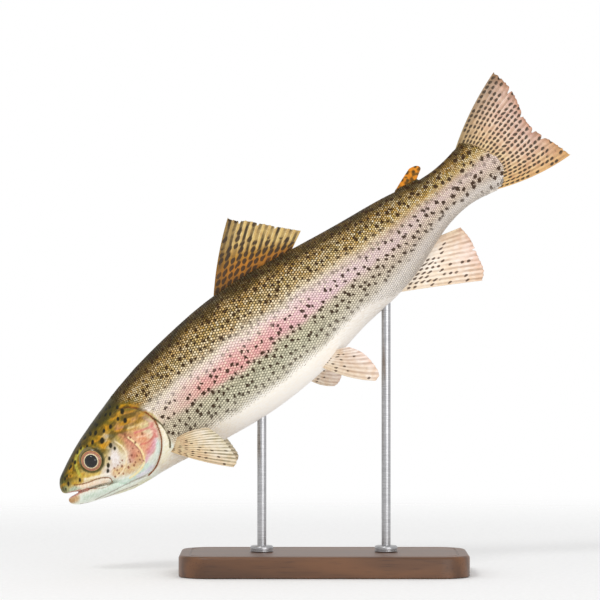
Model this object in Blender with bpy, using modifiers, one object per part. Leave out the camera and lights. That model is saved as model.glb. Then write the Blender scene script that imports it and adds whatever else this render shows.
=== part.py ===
"""Rainbow trout, life size, diving nose-down on a display stand with a flat base and two rods.

Frame: metres, +Z up, origin at the centre of the stand's foot, on the floor. The trout's head points to -X,
its left side to -Y. The trout is drawn level, in millimetres, with x from the snout towards the tail, y to its
right and z up, and is then set on the stand by one empty.
"""

import math

import bmesh
import bpy
import numpy as np
from mathutils import Matrix, Vector

MM = 0.001
LEFT, RIGHT = -1, 1

# The dive, and where the snout is above the middle of the stand.
DIVE_ANGLE = math.radians(36.2)
SNOUT_X = -0.1723
SNOUT_Z = 0.0568

# Gaps and reliefs, in millimetres.
GAP = 0.3
FORM_GAP = 0.45  # from a lofted form, whose flats stand a little inside its true curve
CUT = 0.45  # a cut across the body, measured along it
GILL_COVER_RISE = 0.7
GILL_COVER_DEPTH = 2.2
MAXILLA_RISE = 1.1

RING_POINTS = 22
NOSE_ROUNDING = 5.0
HEAD_RINGS_END = 78.0
HEAD_RING_STEP, BODY_RING_STEP = 6.0, 11.4

# The trout's outline from the side and from above, as (x, value) in millimetres. It is 400 long in all.
BACK = ((-2.3, 3.6), (7, 8.8), (18, 14.4), (30, 19.4), (46, 24.8), (66, 30.9), (90, 36.3), (118, 40.4),
        (150, 42.9), (178, 41.8), (216, 37.3), (254, 32.5), (286, 28.8), (304, 25.6), (316, 24.4),
        (330, 25.3), (346, 28.6), (363, 32.0))
MOUTH_LINE = ((-2.3, -5.6), (2, -6.0), (7, -8.4), (16, -11.5), (26, -15.5), (36, -19.5))
THROAT = ((26, -25.4), (38, -28.6), (56, -30.6), (73, -32.5), (90, -35.5), (119, -39.8), (145, -41.7),
          (170, -41.0), (197, -37.8), (224, -32.2), (250, -29.2), (277, -22.5), (304, -12.2), (318, -9.1),
          (330, -8.6), (346, -11.5), (363, -15.0))
HALF_WIDTH = ((-2.3, 6.6), (7, 9.4), (16, 12.2), (27, 14.9), (40, 17.6), (55, 19.8), (70, 21.2), (90, 22.2),
              (120, 23.6), (150, 24.0), (180, 23.0), (216, 19.6), (250, 15.2), (280, 11.6), (304, 9.2),
              (320, 7.4), (334, 5.0), (346, 2.9), (363, 1.5))
WIDEST_HEIGHT = ((-2.3, -2.0), (16, -1.0), (40, 0.0), (100, 0.0), (150, 1.0), (216, 2.0), (260, 3.5),
                 (304, 7.0), (330, 8.6), (346, 8.6), (363, 8.6))
JAW_TOP = ((-2.4, -7.2), (2, -8.5), (7, -9.2), (16, -12.1), (26, -16.0), (38, -20.0))
JAW_BOTTOM = ((-2.4, -14.2), (2, -15.8), (7, -18.1), (14, -20.6), (26, -25.0), (38, -28.8))
JAW_HALF_WIDTH = ((-2.4, 5.2), (7, 8.3), (16, 10.4), (26, 12.2), (38, 13.4))

# Outlines of the head's plates from the side, as (x, z).
GILL_OUTLINE = ((51, 11), (57, 19.8), (64.7, 18.3), (71.8, 11), (75.4, 0.5), (72.1, -10.2), (66, -19.0),
                (57, -24.6), (46, -25.6), (38, -21.5), (46, -10), (50, 0))
MAXILLA_OUTLINE = ((7.6, -4.6), (16, -8.6), (24, -10.6), (29.2, -13.2), (30.6, -15.6), (26.4, -17.0),
                   (18, -14.4), (11, -10.2))
NAPE_LINE = ((55, 60), (57.5, 30), (60.5, 21.5), (66, 18), (72.2, 11), (75.8, 0.5), (72.5, -10.4),
             (66.4, -19.4), (58, -25.4), (51, -30.5), (47, -60))
TAIL_STALK_START = 307.0
BODY_END = 363.0
TAIL_END_LINE = ((345, 60), (345, 29), (350.5, 24), (356, 15), (360, 6), (360, -1), (355, -8), (347, -12), (345, -60))

EYE_PLACE = (27.1, 2.8)
EYE_SIZE = (9.3, 4.8, 9.3)
EYE_INSET = 3.1
EYE_TURN = math.radians(12)  # the eye looks a little forward, square to the tapering head

# The stand.
BASE_LENGTH, BASE_WIDTH, BASE_HEIGHT = 0.190, 0.092, 0.014
BASE_CORNER, BASE_EDGE = 0.020, 0.002
ROD_X = {"front": -0.041, "rear": 0.041}
ROD_RADIUS = 0.003
ROD_IN_BASE, ROD_IN_BODY = 0.008, 0.010
COLLAR_RADIUS, COLLAR_HEIGHT = 0.0075, 0.004


def clear_scene():
    for obj in list(bpy.data.objects):
        bpy.data.objects.remove(obj)


def collection(name):
    made = bpy.data.collections.new(name)
    bpy.context.scene.collection.children.link(made)
    return made


def material(name, colour, roughness, metallic=0.0):
    made = bpy.data.materials.new(name)
    made.use_nodes = True
    shader = made.node_tree.nodes["Principled BSDF"]
    shader.inputs["Base Color"].default_value = (*colour, 1.0)
    shader.inputs["Roughness"].default_value = roughness
    shader.inputs["Metallic"].default_value = metallic
    return made


def spline(points):
    """A natural cubic curve through (station, value) points, as a function of the station."""
    x, y = np.array(points, float).T
    count, gap = len(x), np.diff(x)
    system, slope = np.eye(count), np.zeros(count)
    for i in range(1, count - 1):
        system[i, i - 1 : i + 2] = gap[i - 1], 2 * (gap[i - 1] + gap[i]), gap[i]
        slope[i] = 6 * ((y[i + 1] - y[i]) / gap[i] - (y[i] - y[i - 1]) / gap[i - 1])
    bend = np.linalg.solve(system, slope)

    def at(station):
        station = np.clip(station, x[0], x[-1])
        i = np.clip(np.searchsorted(x, station) - 1, 0, count - 2)
        after, before, h = station - x[i], x[i + 1] - station, gap[i]
        curved = (bend[i] * before**3 + bend[i + 1] * after**3) / (6 * h)
        straight = (y[i] / h - bend[i] * h / 6) * before + (y[i + 1] / h - bend[i + 1] * h / 6) * after
        return curved + straight

    return at


def path(points):
    """A smooth curve through points in space, as a function that runs from 0 to 1."""
    points = np.array(points, float)
    along = np.concatenate([[0], np.cumsum(np.linalg.norm(np.diff(points, axis=0), axis=1))])
    along /= along[-1]
    axes = [spline(list(zip(along, values, strict=True))) for values in points.T]
    return lambda share: np.array([axis(share) for axis in axes])


def step_between(low, high, value):
    share = np.clip((value - low) / (high - low), 0, 1)
    return share * share * (3 - 2 * share)


back, mouth_line, throat = spline(BACK), spline(MOUTH_LINE), spline(THROAT)
half_width, widest_height = spline(HALF_WIDTH), spline(WIDEST_HEIGHT)
jaw_top, jaw_bottom, jaw_half_width = spline(JAW_TOP), spline(JAW_BOTTOM), spline(JAW_HALF_WIDTH)


def belly(x):
    """The underside without the lower jaw: the mouth line, and behind the jaw the throat and the belly."""
    behind_jaw = step_between(31, 37, x)
    return mouth_line(x) * (1 - behind_jaw) + throat(x) * behind_jaw


class Form:
    """A lofted form: how high, deep and wide its rings are at each station, and how square they are."""

    def __init__(self, tip, nose_height, end, top, bottom, width, widest, upper=2.15, lower=lambda x: 2.2):
        self.tip, self.nose_height, self.end = tip, nose_height, end
        self.top, self.bottom, self.width, self.widest = top, bottom, width, widest
        self.upper, self.lower = upper, lower

    def ring(self, x, turns, grow=0.0):
        """The points of the ring at x: turn 0 is the right side, a quarter turn is the back."""
        ahead = min(1.0, (x - self.tip + grow) / NOSE_ROUNDING)
        rounded = math.sqrt(max(0.0, 1 - (1 - ahead) ** 2))
        middle = self.nose_height + (self.widest(x) - self.nose_height) * ahead
        cos, sin = np.cos(turns), np.sin(turns)
        square = np.where(sin > 0, self.upper, self.lower(x))
        height = np.where(sin > 0, self.top(x) + grow - middle, middle - self.bottom(x) + grow)
        y = (self.width(x) + grow) * np.sign(cos) * np.abs(cos) ** (2 / square)
        z = height * np.sign(sin) * np.abs(sin) ** (2 / square)
        return [Vector((x, rounded * a, middle + rounded * b)) for a, b in zip(y, z, strict=True)]

    def side(self, x, z, grow=0.0):
        """How far out the surface is at (x, z)."""
        middle, reach = self.widest(x), self.width(x) + grow
        rise = (z - middle) / (self.top(x) - middle) if z > middle else (middle - z) / (middle - self.bottom(x))
        square = self.upper if z > middle else self.lower(x)
        return reach * max(0.0, 1 - abs(rise) ** square) ** (1 / square)


BODY = Form(-2.3, -1.9, BODY_END, back, belly, half_width, widest_height,
            lower=lambda x: 4.0 - 1.8 * step_between(31, 37, x))
JAW = Form(-2.4, -10.6, 38.0, jaw_top, jaw_bottom, jaw_half_width, lambda x: jaw_top(x) - 1.8, upper=3.0)
GILL_CHAMBER = Form(-2.3, -1.9, HEAD_RINGS_END, back, belly, half_width, widest_height,
                    lower=lambda x: 4.0 - 1.8 * step_between(31, 37, x))
WHOLE_HEAD = Form(-2.4, -6.0, 60.0, back, lambda x: np.minimum(jaw_bottom(x), belly(x)), half_width,
                  widest_height)


def stations(form, grow):
    """Rings close together on the rounded nose, then one head step apart, and one body step apart."""
    tip = form.tip - grow
    nose = [tip + NOSE_ROUNDING * (1 - math.cos(k * math.pi / 10)) for k in range(1, 5)]
    head_start, head_end = tip + NOSE_ROUNDING, min(HEAD_RINGS_END, form.end)
    head = np.linspace(head_start, head_end, 1 + round((head_end - head_start) / HEAD_RING_STEP))
    body = np.linspace(head_end, form.end, 1 + round((form.end - head_end) / BODY_RING_STEP))
    return [*nose, *head, *body[1:]]


def new_object(name, mesh, group, parent=None):
    obj = bpy.data.objects.new(name, mesh)
    group.objects.link(obj)
    obj.parent = parent
    return obj


def mesh_of(name, points, faces):
    """A mesh in metres from points in millimetres."""
    mesh = bpy.data.meshes.new(name)
    mesh.from_pydata([Vector(p) * MM for p in points], [], faces)
    mesh.update()
    return mesh


def face_out(mesh):
    shape = bmesh.new()
    shape.from_mesh(mesh)
    bmesh.ops.recalc_face_normals(shape, faces=shape.faces)
    shape.to_mesh(mesh)
    shape.free()


def loft(name, form, grow=0.0):
    """A closed mesh over a form's rings, with a point at the nose and a flat end."""
    turns = np.arange(RING_POINTS) * 2 * math.pi / RING_POINTS
    points, faces = [Vector((form.tip - grow, 0, form.nose_height))], []
    for x in stations(form, grow):
        points += form.ring(x, turns, grow)
    rings = (len(points) - 1) // RING_POINTS
    for k in range(RING_POINTS):
        after = (k + 1) % RING_POINTS
        faces.append((0, 1 + after, 1 + k))
        for ring in range(rings - 1):
            first, second = 1 + ring * RING_POINTS, 1 + (ring + 1) * RING_POINTS
            faces.append((first + k, first + after, second + after, second + k))
    faces.append([1 + (rings - 1) * RING_POINTS + k for k in range(RING_POINTS)])
    mesh = mesh_of(name, points, faces)
    face_out(mesh)
    return mesh


def prism(name, outline, low, high, shift=0.0):
    """A side outline pushed across the body from y low to y high."""
    count = len(outline)
    points = [(x + shift, y, z) for y in (low, high) for x, z in outline]
    sides = [(k, (k + 1) % count, (k + 1) % count + count, k + count) for k in range(count)]
    mesh = mesh_of(name, points, [range(count), range(count, 2 * count), *sides])
    face_out(mesh)
    return mesh


def tail_end(shift=0.0):
    """The body ahead of the rounded edge where the scales end on the tail fin."""
    return prism("tail_end", [*TAIL_END_LINE, (-20, -60), (-20, 60)], -60, 60, shift)


def smooth_outline(outline, count):
    """A closed side outline through its points, with count corners."""
    around = path([(*p, 0) for p in (*outline, outline[0])])
    return [tuple(around(k / count)[:2]) for k in range(count)]


def swollen(outline, grow):
    """A side outline moved outwards by grow, from its own centre."""
    centre = np.mean(outline, axis=0)
    out = []
    for point in outline:
        away = np.array(point) - centre
        out.append(tuple(centre + away * (1 + grow / np.linalg.norm(away))))
    return out


class Workshop:
    """Where the trout's pieces are made: their collections, the empty that poses them, and the cutters."""

    def __init__(self):
        self.parts, self.cutters = collection("rainbow_trout"), collection("cutters")
        self.pose = new_object("dive_pose", None, self.parts)
        self.pose.location = (SNOUT_X, 0, SNOUT_Z)
        self.pose.rotation_euler = (0, -DIVE_ANGLE, 0)

    def cutter(self, mesh, posed=True):
        obj = new_object("cutter_" + mesh.name, mesh, self.cutters, self.pose if posed else None)
        obj.hide_render = True
        obj.display_type = "WIRE"
        return obj

    def piece(self, name, mesh, finish, posed=True):
        obj = new_object(name, mesh, self.parts, self.pose if posed else None)
        mesh.materials.append(finish)
        return obj

    def cut(self, obj, operation, cutter):
        step = obj.modifiers.new(operation.lower() + "_" + cutter.name, "BOOLEAN")
        step.operation, step.object, step.solver = operation, cutter, "EXACT"


def eye_mesh(side, grow=0.0):
    x, z = EYE_PLACE
    shape = bmesh.new()
    bmesh.ops.create_uvsphere(shape, u_segments=16, v_segments=8, radius=1)
    turn = Matrix.Rotation(math.pi / 2, 4, "X")
    forward = Matrix.Rotation(side * EYE_TURN, 4, "Z")
    size = Matrix.Diagonal((*((s + grow) * MM for s in EYE_SIZE), 1))
    place = Vector((x, side * (BODY.side(x, z) - EYE_INSET), z)) * MM
    bmesh.ops.transform(shape, matrix=Matrix.Translation(place) @ forward @ size @ turn, verts=shape.verts)
    mesh = bpy.data.meshes.new("eye")
    shape.to_mesh(mesh)
    shape.free()
    return mesh


def make_head(shop, finish):
    """Head, lower jaw, and on each side the gill cover, the maxilla and the eye."""
    grown_body = shop.cutter(loft("body_gap", BODY, FORM_GAP))
    shop.cut(grown_body, "INTERSECT", shop.cutter(tail_end(FORM_GAP)))
    inner = shop.cutter(loft("gill_chamber", GILL_CHAMBER, -GILL_COVER_DEPTH))
    inner_gap = shop.cutter(loft("gill_chamber_gap", GILL_CHAMBER, -GILL_COVER_DEPTH - GAP))
    jaw_gap = shop.cutter(loft("jaw_gap", JAW, FORM_GAP))
    front = [*NAPE_LINE, (-20, -60), (-20, 60)]

    head = shop.piece("head", loft("head", BODY), finish["skin"])
    shop.cut(head, "INTERSECT", shop.cutter(prism("head_region", front, -60, 60)))
    jaw = shop.piece("lower_jaw", loft("lower_jaw", JAW), finish["jaw"])
    shop.cut(jaw, "DIFFERENCE", grown_body)

    gill = smooth_outline(GILL_OUTLINE, 36)
    maxilla = smooth_outline(MAXILLA_OUTLINE, 22)
    for side, word in ((LEFT, "left"), (RIGHT, "right")):
        low, high = sorted((side * 4, side * 40))
        pocket = shop.cutter(prism("pocket_" + word, swollen(gill, GAP), low, high))
        shop.cut(pocket, "DIFFERENCE", inner_gap)
        shop.cut(head, "DIFFERENCE", pocket)
        cover = shop.piece("gill_cover_" + word, loft("gill_cover", BODY, GILL_COVER_RISE), finish["gill"])
        shop.cut(cover, "INTERSECT", shop.cutter(prism("gill_outline_" + word, gill, low, high)))
        shop.cut(cover, "DIFFERENCE", inner)

        plate = shop.piece("maxilla_" + word, loft("maxilla", WHOLE_HEAD, MAXILLA_RISE), finish["jaw"])
        shop.cut(plate, "INTERSECT", shop.cutter(prism("maxilla_outline_" + word, maxilla, low, high)))
        shop.cut(plate, "DIFFERENCE", grown_body)
        shop.cut(plate, "DIFFERENCE", jaw_gap)

        shop.piece("eye_" + word, eye_mesh(side), finish["eye"])
        shop.cut(head, "DIFFERENCE", shop.cutter(eye_mesh(side, GAP)))
    return grown_body


def make_trunk(shop, finish):
    """The trunk behind the gill covers, and the tail stalk."""
    front = [*NAPE_LINE, (-20, -60), (-20, 60)]
    beyond = BODY_END + 20
    rear = [(TAIL_STALK_START, 60), (beyond, 60), (beyond, -60), (TAIL_STALK_START, -60)]
    trunk = shop.piece("trunk", loft("trunk", BODY), finish["flank"])
    shop.cut(trunk, "DIFFERENCE", shop.cutter(prism("head_region_gap", front, -60, 60, shift=CUT)))
    shop.cut(trunk, "DIFFERENCE", shop.cutter(prism("tail_region_gap", rear, -60, 60, shift=-CUT)))
    stalk = shop.piece("tail_stalk", loft("tail_stalk", BODY), finish["flank"])
    shop.cut(stalk, "INTERSECT", shop.cutter(prism("tail_region", rear, -60, 60)))
    shop.cut(stalk, "INTERSECT", shop.cutter(tail_end()))
    return trunk


class Fin:
    """A fin: rays fan out from a line inside the body to the margin. Points are (x, y, z), first ray first."""

    def __init__(self, base, margin, rays, rows, bow_first=(0, 0, 0), bow_last=(0, 0, 0),
                 thick=(1.3, 0.7), wave=0.0):
        self.base, self.margin = path(base), path(margin)
        self.rays, self.rows, self.thick, self.wave = rays, rows, thick, wave
        self.bow_first, self.bow_last = np.array(bow_first, float), np.array(bow_last, float)

    def point(self, across, along):
        """Across runs from the first ray to the last, and along from the base to the margin."""
        bow = self.bow_first * (1 - across) + self.bow_last * across
        point = self.base(across) * (1 - along) + self.margin(across) * along + bow * 4 * along * (1 - along)
        point[1] += self.wave * along * math.sin(2 * math.pi * across)
        return point

    def normal(self, across, along):
        step = 0.02
        a, b = max(0.0, across - step), min(1.0, across + step)
        c, d = max(0.0, along - step), min(1.0, along + step)
        turned = np.cross(self.point(b, along) - self.point(a, along), self.point(across, d) - self.point(across, c))
        return turned / np.linalg.norm(turned)


FINS = {
    "dorsal_fin": Fin(((151, 0, 38), (180, 0, 37), (208, 0, 34)),
                      ((192.9, 0, 79.2), (195.6, 0, 75.2), (199, 0, 72.6), (207, 0, 64.8), (217, 0, 53.8),
                       (226.6, 0, 43.8)),
                      rays=11, rows=4, bow_first=(-1.2, 0, 1.4), wave=1.2),
    "tail_fin": Fin(((336, 0, 23), (347, 0, 13), (349, 0, 2), (338, 0, -6.5)),
                    ((391.3, 0, 53), (394, 0, 40), (392.4, 0, 27), (389.6, 0, 14), (391.5, 0, 3), (396, 0, -8.5),
                     (400, 0, -20.8)),
                    rays=17, rows=4, bow_first=(-1.8, 0, 1.9), bow_last=(0, 0, -3.4), thick=(1.7, 0.7), wave=1.6),
    "anal_fin": Fin(((254, 0, -26.5), (277, 0, -19), (297, 0, -13)),
                    ((304, 0, -53.6), (308, 0, -50), (311, 0, -40), (313.8, 0, -27), (313.0, 0, -16.8)),
                    rays=11, rows=4, bow_first=(0.3, 0, 0.2), wave=-1.0),
    "adipose_fin": Fin(((288, 0, 26.5), (297, 0, 25), (305, 0, 23.6)),
                       ((308.5, 0, 34.9), (312.5, 0, 34.2), (315, 0, 32.4), (315.2, 0, 30.4), (313, 0, 28.6)),
                       rays=4, rows=4, bow_first=(0.3, 0, 0.4), thick=(2.6, 1.4)),
}


def paired(name, base, margin, rays, bow_first, bow_last):
    """A paired fin on the left side, and its mirror image on the right."""
    for side, word in ((LEFT, "left"), (RIGHT, "right")):
        turned = [[(x, side * y, z) for x, y, z in points] for points in (base, margin, [bow_first], [bow_last])]
        FINS[f"{name}_{word}"] = Fin(turned[0], turned[1], rays, 4, turned[2][0], turned[3][0])


paired("pectoral_fin", ((72, 15.5, -22.5), (76.5, 16, -18.5)),
       ((100.2, 31, -55.2), (103.6, 31.4, -54), (105.4, 31, -47), (105, 29, -35), (102, 26, -25)),
       rays=10, bow_first=(-0.6, 1, -1), bow_last=(0, 2, 2.4))
paired("pelvic_fin", ((184, 6.5, -35.5), (198, 8, -33)),
       ((208, 24, -64.6), (211.6, 24.2, -63.4), (213.4, 23.4, -57), (211.4, 20, -43.6), (206.7, 16, -36.4)),
       rays=8, bow_first=(-1, 1, -2), bow_last=(0, 1, 0))

# The right pelvic fin is held forwards and further out.
FINS["pelvic_fin_right"] = Fin(((172, 6.5, -36.5), (188, 8, -34)),
                               ((184, 31, -53), (187, 32, -52.8), (192, 32.5, -50), (197, 30, -45), (199, 25, -40.5)),
                               rays=8, rows=4, bow_first=(-1.2, 1, -1.4), bow_last=(0, 1, 0))


def fin_mesh(name, fin):
    """A closed plate, thicker on each ray than between two, with the margin notched between rays."""
    columns, rows = 2 * fin.rays - 1, fin.rows + 1
    points = []
    for face in (1, -1):
        for column in range(columns):
            between = column % 2
            across = column / (columns - 1)
            for row in range(rows):
                along = row / fin.rows * (1 - 0.02 * between)
                half = (fin.thick[0] + (fin.thick[1] - fin.thick[0]) * along) / 2 * (1 - 0.28 * between)
                points.append(fin.point(across, along) + fin.normal(across, along) * half * face)
    back_side = columns * rows

    def at(column, row, face):
        return column * rows + row + face * back_side

    faces = []
    for column in range(columns - 1):
        for row in range(rows - 1):
            quad = [(column, row), (column + 1, row), (column + 1, row + 1), (column, row + 1)]
            faces += [[at(*corner, face) for corner in quad] for face in (0, 1)]
    rim = [(c, 0) for c in range(columns)] + [(columns - 1, r) for r in range(1, rows)]
    rim += [(c, rows - 1) for c in reversed(range(columns - 1))] + [(0, r) for r in reversed(range(1, rows - 1))]
    for here, following in zip(rim, rim[1:] + rim[:1], strict=True):
        faces.append((at(*here, 0), at(*following, 0), at(*following, 1), at(*here, 1)))
    mesh = mesh_of(name, points, faces)
    face_out(mesh)
    return mesh


def make_fins(shop, finish, grown_body):
    for name, fin in FINS.items():
        obj = shop.piece(name, fin_mesh(name, fin), finish["adipose" if "adipose" in name else "fin"])
        shop.cut(obj, "DIFFERENCE", grown_body)


def belly_above(x):
    """The world height at which a vertical line at world x meets the belly."""
    cos, sin = math.cos(DIVE_ANGLE), math.sin(DIVE_ANGLE)
    station = 150.0
    for _ in range(30):
        station = ((x - SNOUT_X) / MM + float(belly(station)) * sin) / cos
    return SNOUT_Z + (station * sin + float(belly(station)) * cos) * MM


def cylinder(name, radius, low, high, x, segments=24):
    shape = bmesh.new()
    place = Matrix.Translation((x, 0, (low + high) / 2))
    bmesh.ops.create_cone(shape, cap_ends=True, segments=segments, radius1=radius, radius2=radius,
                          depth=high - low, matrix=place)
    mesh = bpy.data.meshes.new(name)
    shape.to_mesh(mesh)
    shape.free()
    return mesh


def base_mesh():
    """A flat plate with round corners and a small bevel round its top."""
    shape = bmesh.new()
    size = Matrix.Diagonal((BASE_LENGTH, BASE_WIDTH, BASE_HEIGHT, 1))
    bmesh.ops.create_cube(shape, size=1, matrix=Matrix.Translation((0, 0, BASE_HEIGHT / 2)) @ size)
    upright = [e for e in shape.edges if abs(e.verts[0].co.z - e.verts[1].co.z) > BASE_HEIGHT / 2]
    bmesh.ops.bevel(shape, geom=upright, offset=BASE_CORNER, segments=6, profile=0.5, affect="EDGES")
    top = [e for e in shape.edges if all(v.co.z > BASE_HEIGHT * 0.99 for v in e.verts) and len(e.link_faces) == 2]
    bmesh.ops.bevel(shape, geom=top, offset=BASE_EDGE, segments=2, profile=0.5, affect="EDGES")
    mesh = bpy.data.meshes.new("stand_base")
    shape.to_mesh(mesh)
    shape.free()
    return mesh


def collar(shop, name, x, finish):
    """A turned ring round the rod's foot, with a bevelled shoulder."""
    inner, foot = ROD_RADIUS + GAP * MM, BASE_HEIGHT + GAP * MM
    top, shoulder = foot + COLLAR_HEIGHT, 0.0012
    profile = [(inner, top), (COLLAR_RADIUS - shoulder, top), (COLLAR_RADIUS, top - shoulder), (COLLAR_RADIUS, foot),
               (inner, foot)]
    mesh = bpy.data.meshes.new(name)
    mesh.from_pydata([(r, 0, z) for r, z in profile], [(k, (k + 1) % 5) for k in range(5)], [])
    obj = shop.piece(name, mesh, finish, posed=False)
    obj.location = (x, 0, 0)
    turn = obj.modifiers.new("turn", "SCREW")
    turn.steps = turn.render_steps = 20
    turn.use_merge_vertices, turn.merge_threshold = True, 0.00001
    turn.use_normal_calculate = True


def make_stand(shop, finish, trunk):
    """A flat base, and two rods that stand in it and hold the trunk."""
    base = shop.piece("stand_base", base_mesh(), finish["wood"], posed=False)
    for word, x in ROD_X.items():
        low, high = BASE_HEIGHT - ROD_IN_BASE, belly_above(x) + ROD_IN_BODY
        name = "stand_rod_" + word
        shop.piece(name, cylinder(name, ROD_RADIUS, low, high, x), finish["steel"], posed=False)
        gap = GAP * MM
        socket = cylinder("socket_" + word, ROD_RADIUS + gap, low - gap, high + gap, x)
        hole = shop.cutter(socket, posed=False)
        shop.cut(base, "DIFFERENCE", hole)
        shop.cut(trunk, "DIFFERENCE", hole)
        collar(shop, "stand_collar_" + word, x, finish["steel"])


def finishes():
    return {
        "skin": material("olive_head_skin", (0.20, 0.19, 0.06), 0.4),
        "gill": material("rosy_gill_cover_skin", (0.62, 0.36, 0.30), 0.35),
        "jaw": material("silver_jaw_skin", (0.62, 0.63, 0.52), 0.35),
        "flank": material("silver_flank_skin", (0.45, 0.42, 0.30), 0.4),
        "eye": material("eye_cornea", (0.05, 0.04, 0.03), 0.05),
        "fin": material("fin_membrane", (0.68, 0.50, 0.32), 0.45),
        "adipose": material("adipose_fin_skin", (0.65, 0.27, 0.03), 0.45),
        "wood": material("walnut_wood", (0.10, 0.05, 0.025), 0.4),
        "steel": material("brushed_steel", (0.60, 0.60, 0.62), 0.3, metallic=1.0),
    }


def shade(group):
    for obj in group.objects:
        if obj.type == "MESH":
            obj.data.shade_smooth()
            obj.data.set_sharp_from_angle(angle=math.radians(40))


def main():
    clear_scene()
    shop, finish = Workshop(), finishes()
    grown_body = make_head(shop, finish)
    trunk = make_trunk(shop, finish)
    make_fins(shop, finish, grown_body)
    make_stand(shop, finish, trunk)
    shade(shop.parts)


main()
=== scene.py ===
"""The looks of the rainbow trout on its display stand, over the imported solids.

The trout is drawn level, in millimetres, with x from the snout towards the tail, y to its right and z up.
It is then set in its dive over the stand. Every finished mesh is in metres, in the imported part's frame.
"""

import math

import bmesh
import bpy
import numpy as np
from bpy.props import FloatProperty, FloatVectorProperty, IntProperty, PointerProperty
from mathutils import Matrix, Vector
from mathutils.bvhtree import BVHTree


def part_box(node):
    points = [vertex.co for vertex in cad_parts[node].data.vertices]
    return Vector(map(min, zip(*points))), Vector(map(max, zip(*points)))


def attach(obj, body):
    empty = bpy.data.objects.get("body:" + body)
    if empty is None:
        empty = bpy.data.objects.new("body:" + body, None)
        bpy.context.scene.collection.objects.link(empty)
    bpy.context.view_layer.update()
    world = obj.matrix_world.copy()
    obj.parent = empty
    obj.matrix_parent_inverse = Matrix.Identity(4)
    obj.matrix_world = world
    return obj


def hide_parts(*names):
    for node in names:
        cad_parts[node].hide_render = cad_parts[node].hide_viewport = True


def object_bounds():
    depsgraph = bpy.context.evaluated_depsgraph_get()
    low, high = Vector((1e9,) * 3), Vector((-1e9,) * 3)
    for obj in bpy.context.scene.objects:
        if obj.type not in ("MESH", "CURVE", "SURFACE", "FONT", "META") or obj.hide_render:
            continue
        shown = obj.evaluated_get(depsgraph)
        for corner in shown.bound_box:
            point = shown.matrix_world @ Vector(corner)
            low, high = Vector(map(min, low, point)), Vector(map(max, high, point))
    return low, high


bl_info = {
    "name": "Rainbow Trout on a Stand",
    "version": (1, 0, 0),
    "blender": (4, 5, 0),
    "location": "View3D > Sidebar > Trout",
    "description": "Builds the skin, scales, fins, eyes and stand of a life-size rainbow trout",
    "category": "Add Mesh",
}

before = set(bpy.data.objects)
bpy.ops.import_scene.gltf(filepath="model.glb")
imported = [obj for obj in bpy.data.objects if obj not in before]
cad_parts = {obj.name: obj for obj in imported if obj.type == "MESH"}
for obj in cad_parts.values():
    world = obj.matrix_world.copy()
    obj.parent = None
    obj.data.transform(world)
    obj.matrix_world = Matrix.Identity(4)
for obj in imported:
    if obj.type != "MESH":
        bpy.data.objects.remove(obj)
PACKED_BOX = [list(corner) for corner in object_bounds()]

MM = 0.001
LEFT, RIGHT = -1, 1
DIVE_ANGLE = math.radians(36.2)
SNOUT_X, SNOUT_Z = -0.1723, 0.0568
TROUT_LENGTH = 400.0
HALF_GIRTH = 68.0  # a little over half the way round the deepest part of the trunk

# The trout's outline from the side and from above, as (x, value).
BACK = ((-2.3, 3.6), (7, 8.8), (18, 14.4), (30, 19.4), (46, 24.8), (66, 30.9), (90, 36.3), (118, 40.4),
        (150, 42.9), (178, 41.8), (216, 37.3), (254, 32.5), (286, 28.8), (304, 25.6), (316, 24.4),
        (330, 25.3), (346, 28.6), (363, 32.0))
MOUTH_LINE = ((-2.3, -5.6), (2, -6.0), (7, -8.4), (16, -11.5), (26, -15.5), (36, -19.5))
THROAT = ((26, -25.4), (38, -28.6), (56, -30.6), (73, -32.5), (90, -35.5), (119, -39.8), (145, -41.7),
          (170, -41.0), (197, -37.8), (224, -32.2), (250, -29.2), (277, -22.5), (304, -12.2), (318, -9.1),
          (330, -8.6), (346, -11.5), (363, -15.0))
HALF_WIDTH = ((-2.3, 6.6), (7, 9.4), (16, 12.2), (27, 14.9), (40, 17.6), (55, 19.8), (70, 21.2), (90, 22.2),
              (120, 23.6), (150, 24.0), (180, 23.0), (216, 19.6), (250, 15.2), (280, 11.6), (304, 9.2),
              (320, 7.4), (334, 5.0), (346, 2.9), (363, 1.5))
WIDEST_HEIGHT = ((-2.3, -2.0), (16, -1.0), (40, 0.0), (100, 0.0), (150, 1.0), (216, 2.0), (260, 3.5),
                 (304, 7.0), (330, 8.6), (346, 8.6), (363, 8.6))
JAW_TOP = ((-2.4, -7.2), (2, -8.5), (7, -9.2), (16, -12.1), (26, -16.0), (38, -20.0))
JAW_BOTTOM = ((-2.4, -14.2), (2, -15.8), (7, -18.1), (14, -20.6), (26, -25.0), (38, -28.8))
JAW_HALF_WIDTH = ((-2.4, 5.2), (7, 8.3), (16, 10.4), (25, 11.8), (32, 11.2), (38, 8.4))
BODY_TIP, JAW_TIP = -2.3, -2.4
BODY_END, JAW_END = 363.0, 38.0
JAW_JOINT = (31, 37)  # where the body's underside changes from the mouth line to the throat
NOSE_ROUNDING = 5.0

# Where the body's flesh ends on the tail fin, and where the scales begin behind the head, as (x, z).
TAIL_END_LINE = ((345, 60), (345, 29), (350.5, 24), (356, 15), (360, 6), (360, -1), (355, -8), (347, -12),
                 (345, -60))
SCALES_START_LINE = ((59, 45), (60, 25), (66, 20.5), (73, 13.5), (78, 4), (79, -5), (77.5, -14), (76, -22),
                     (80, -34), (84, -45))

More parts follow.
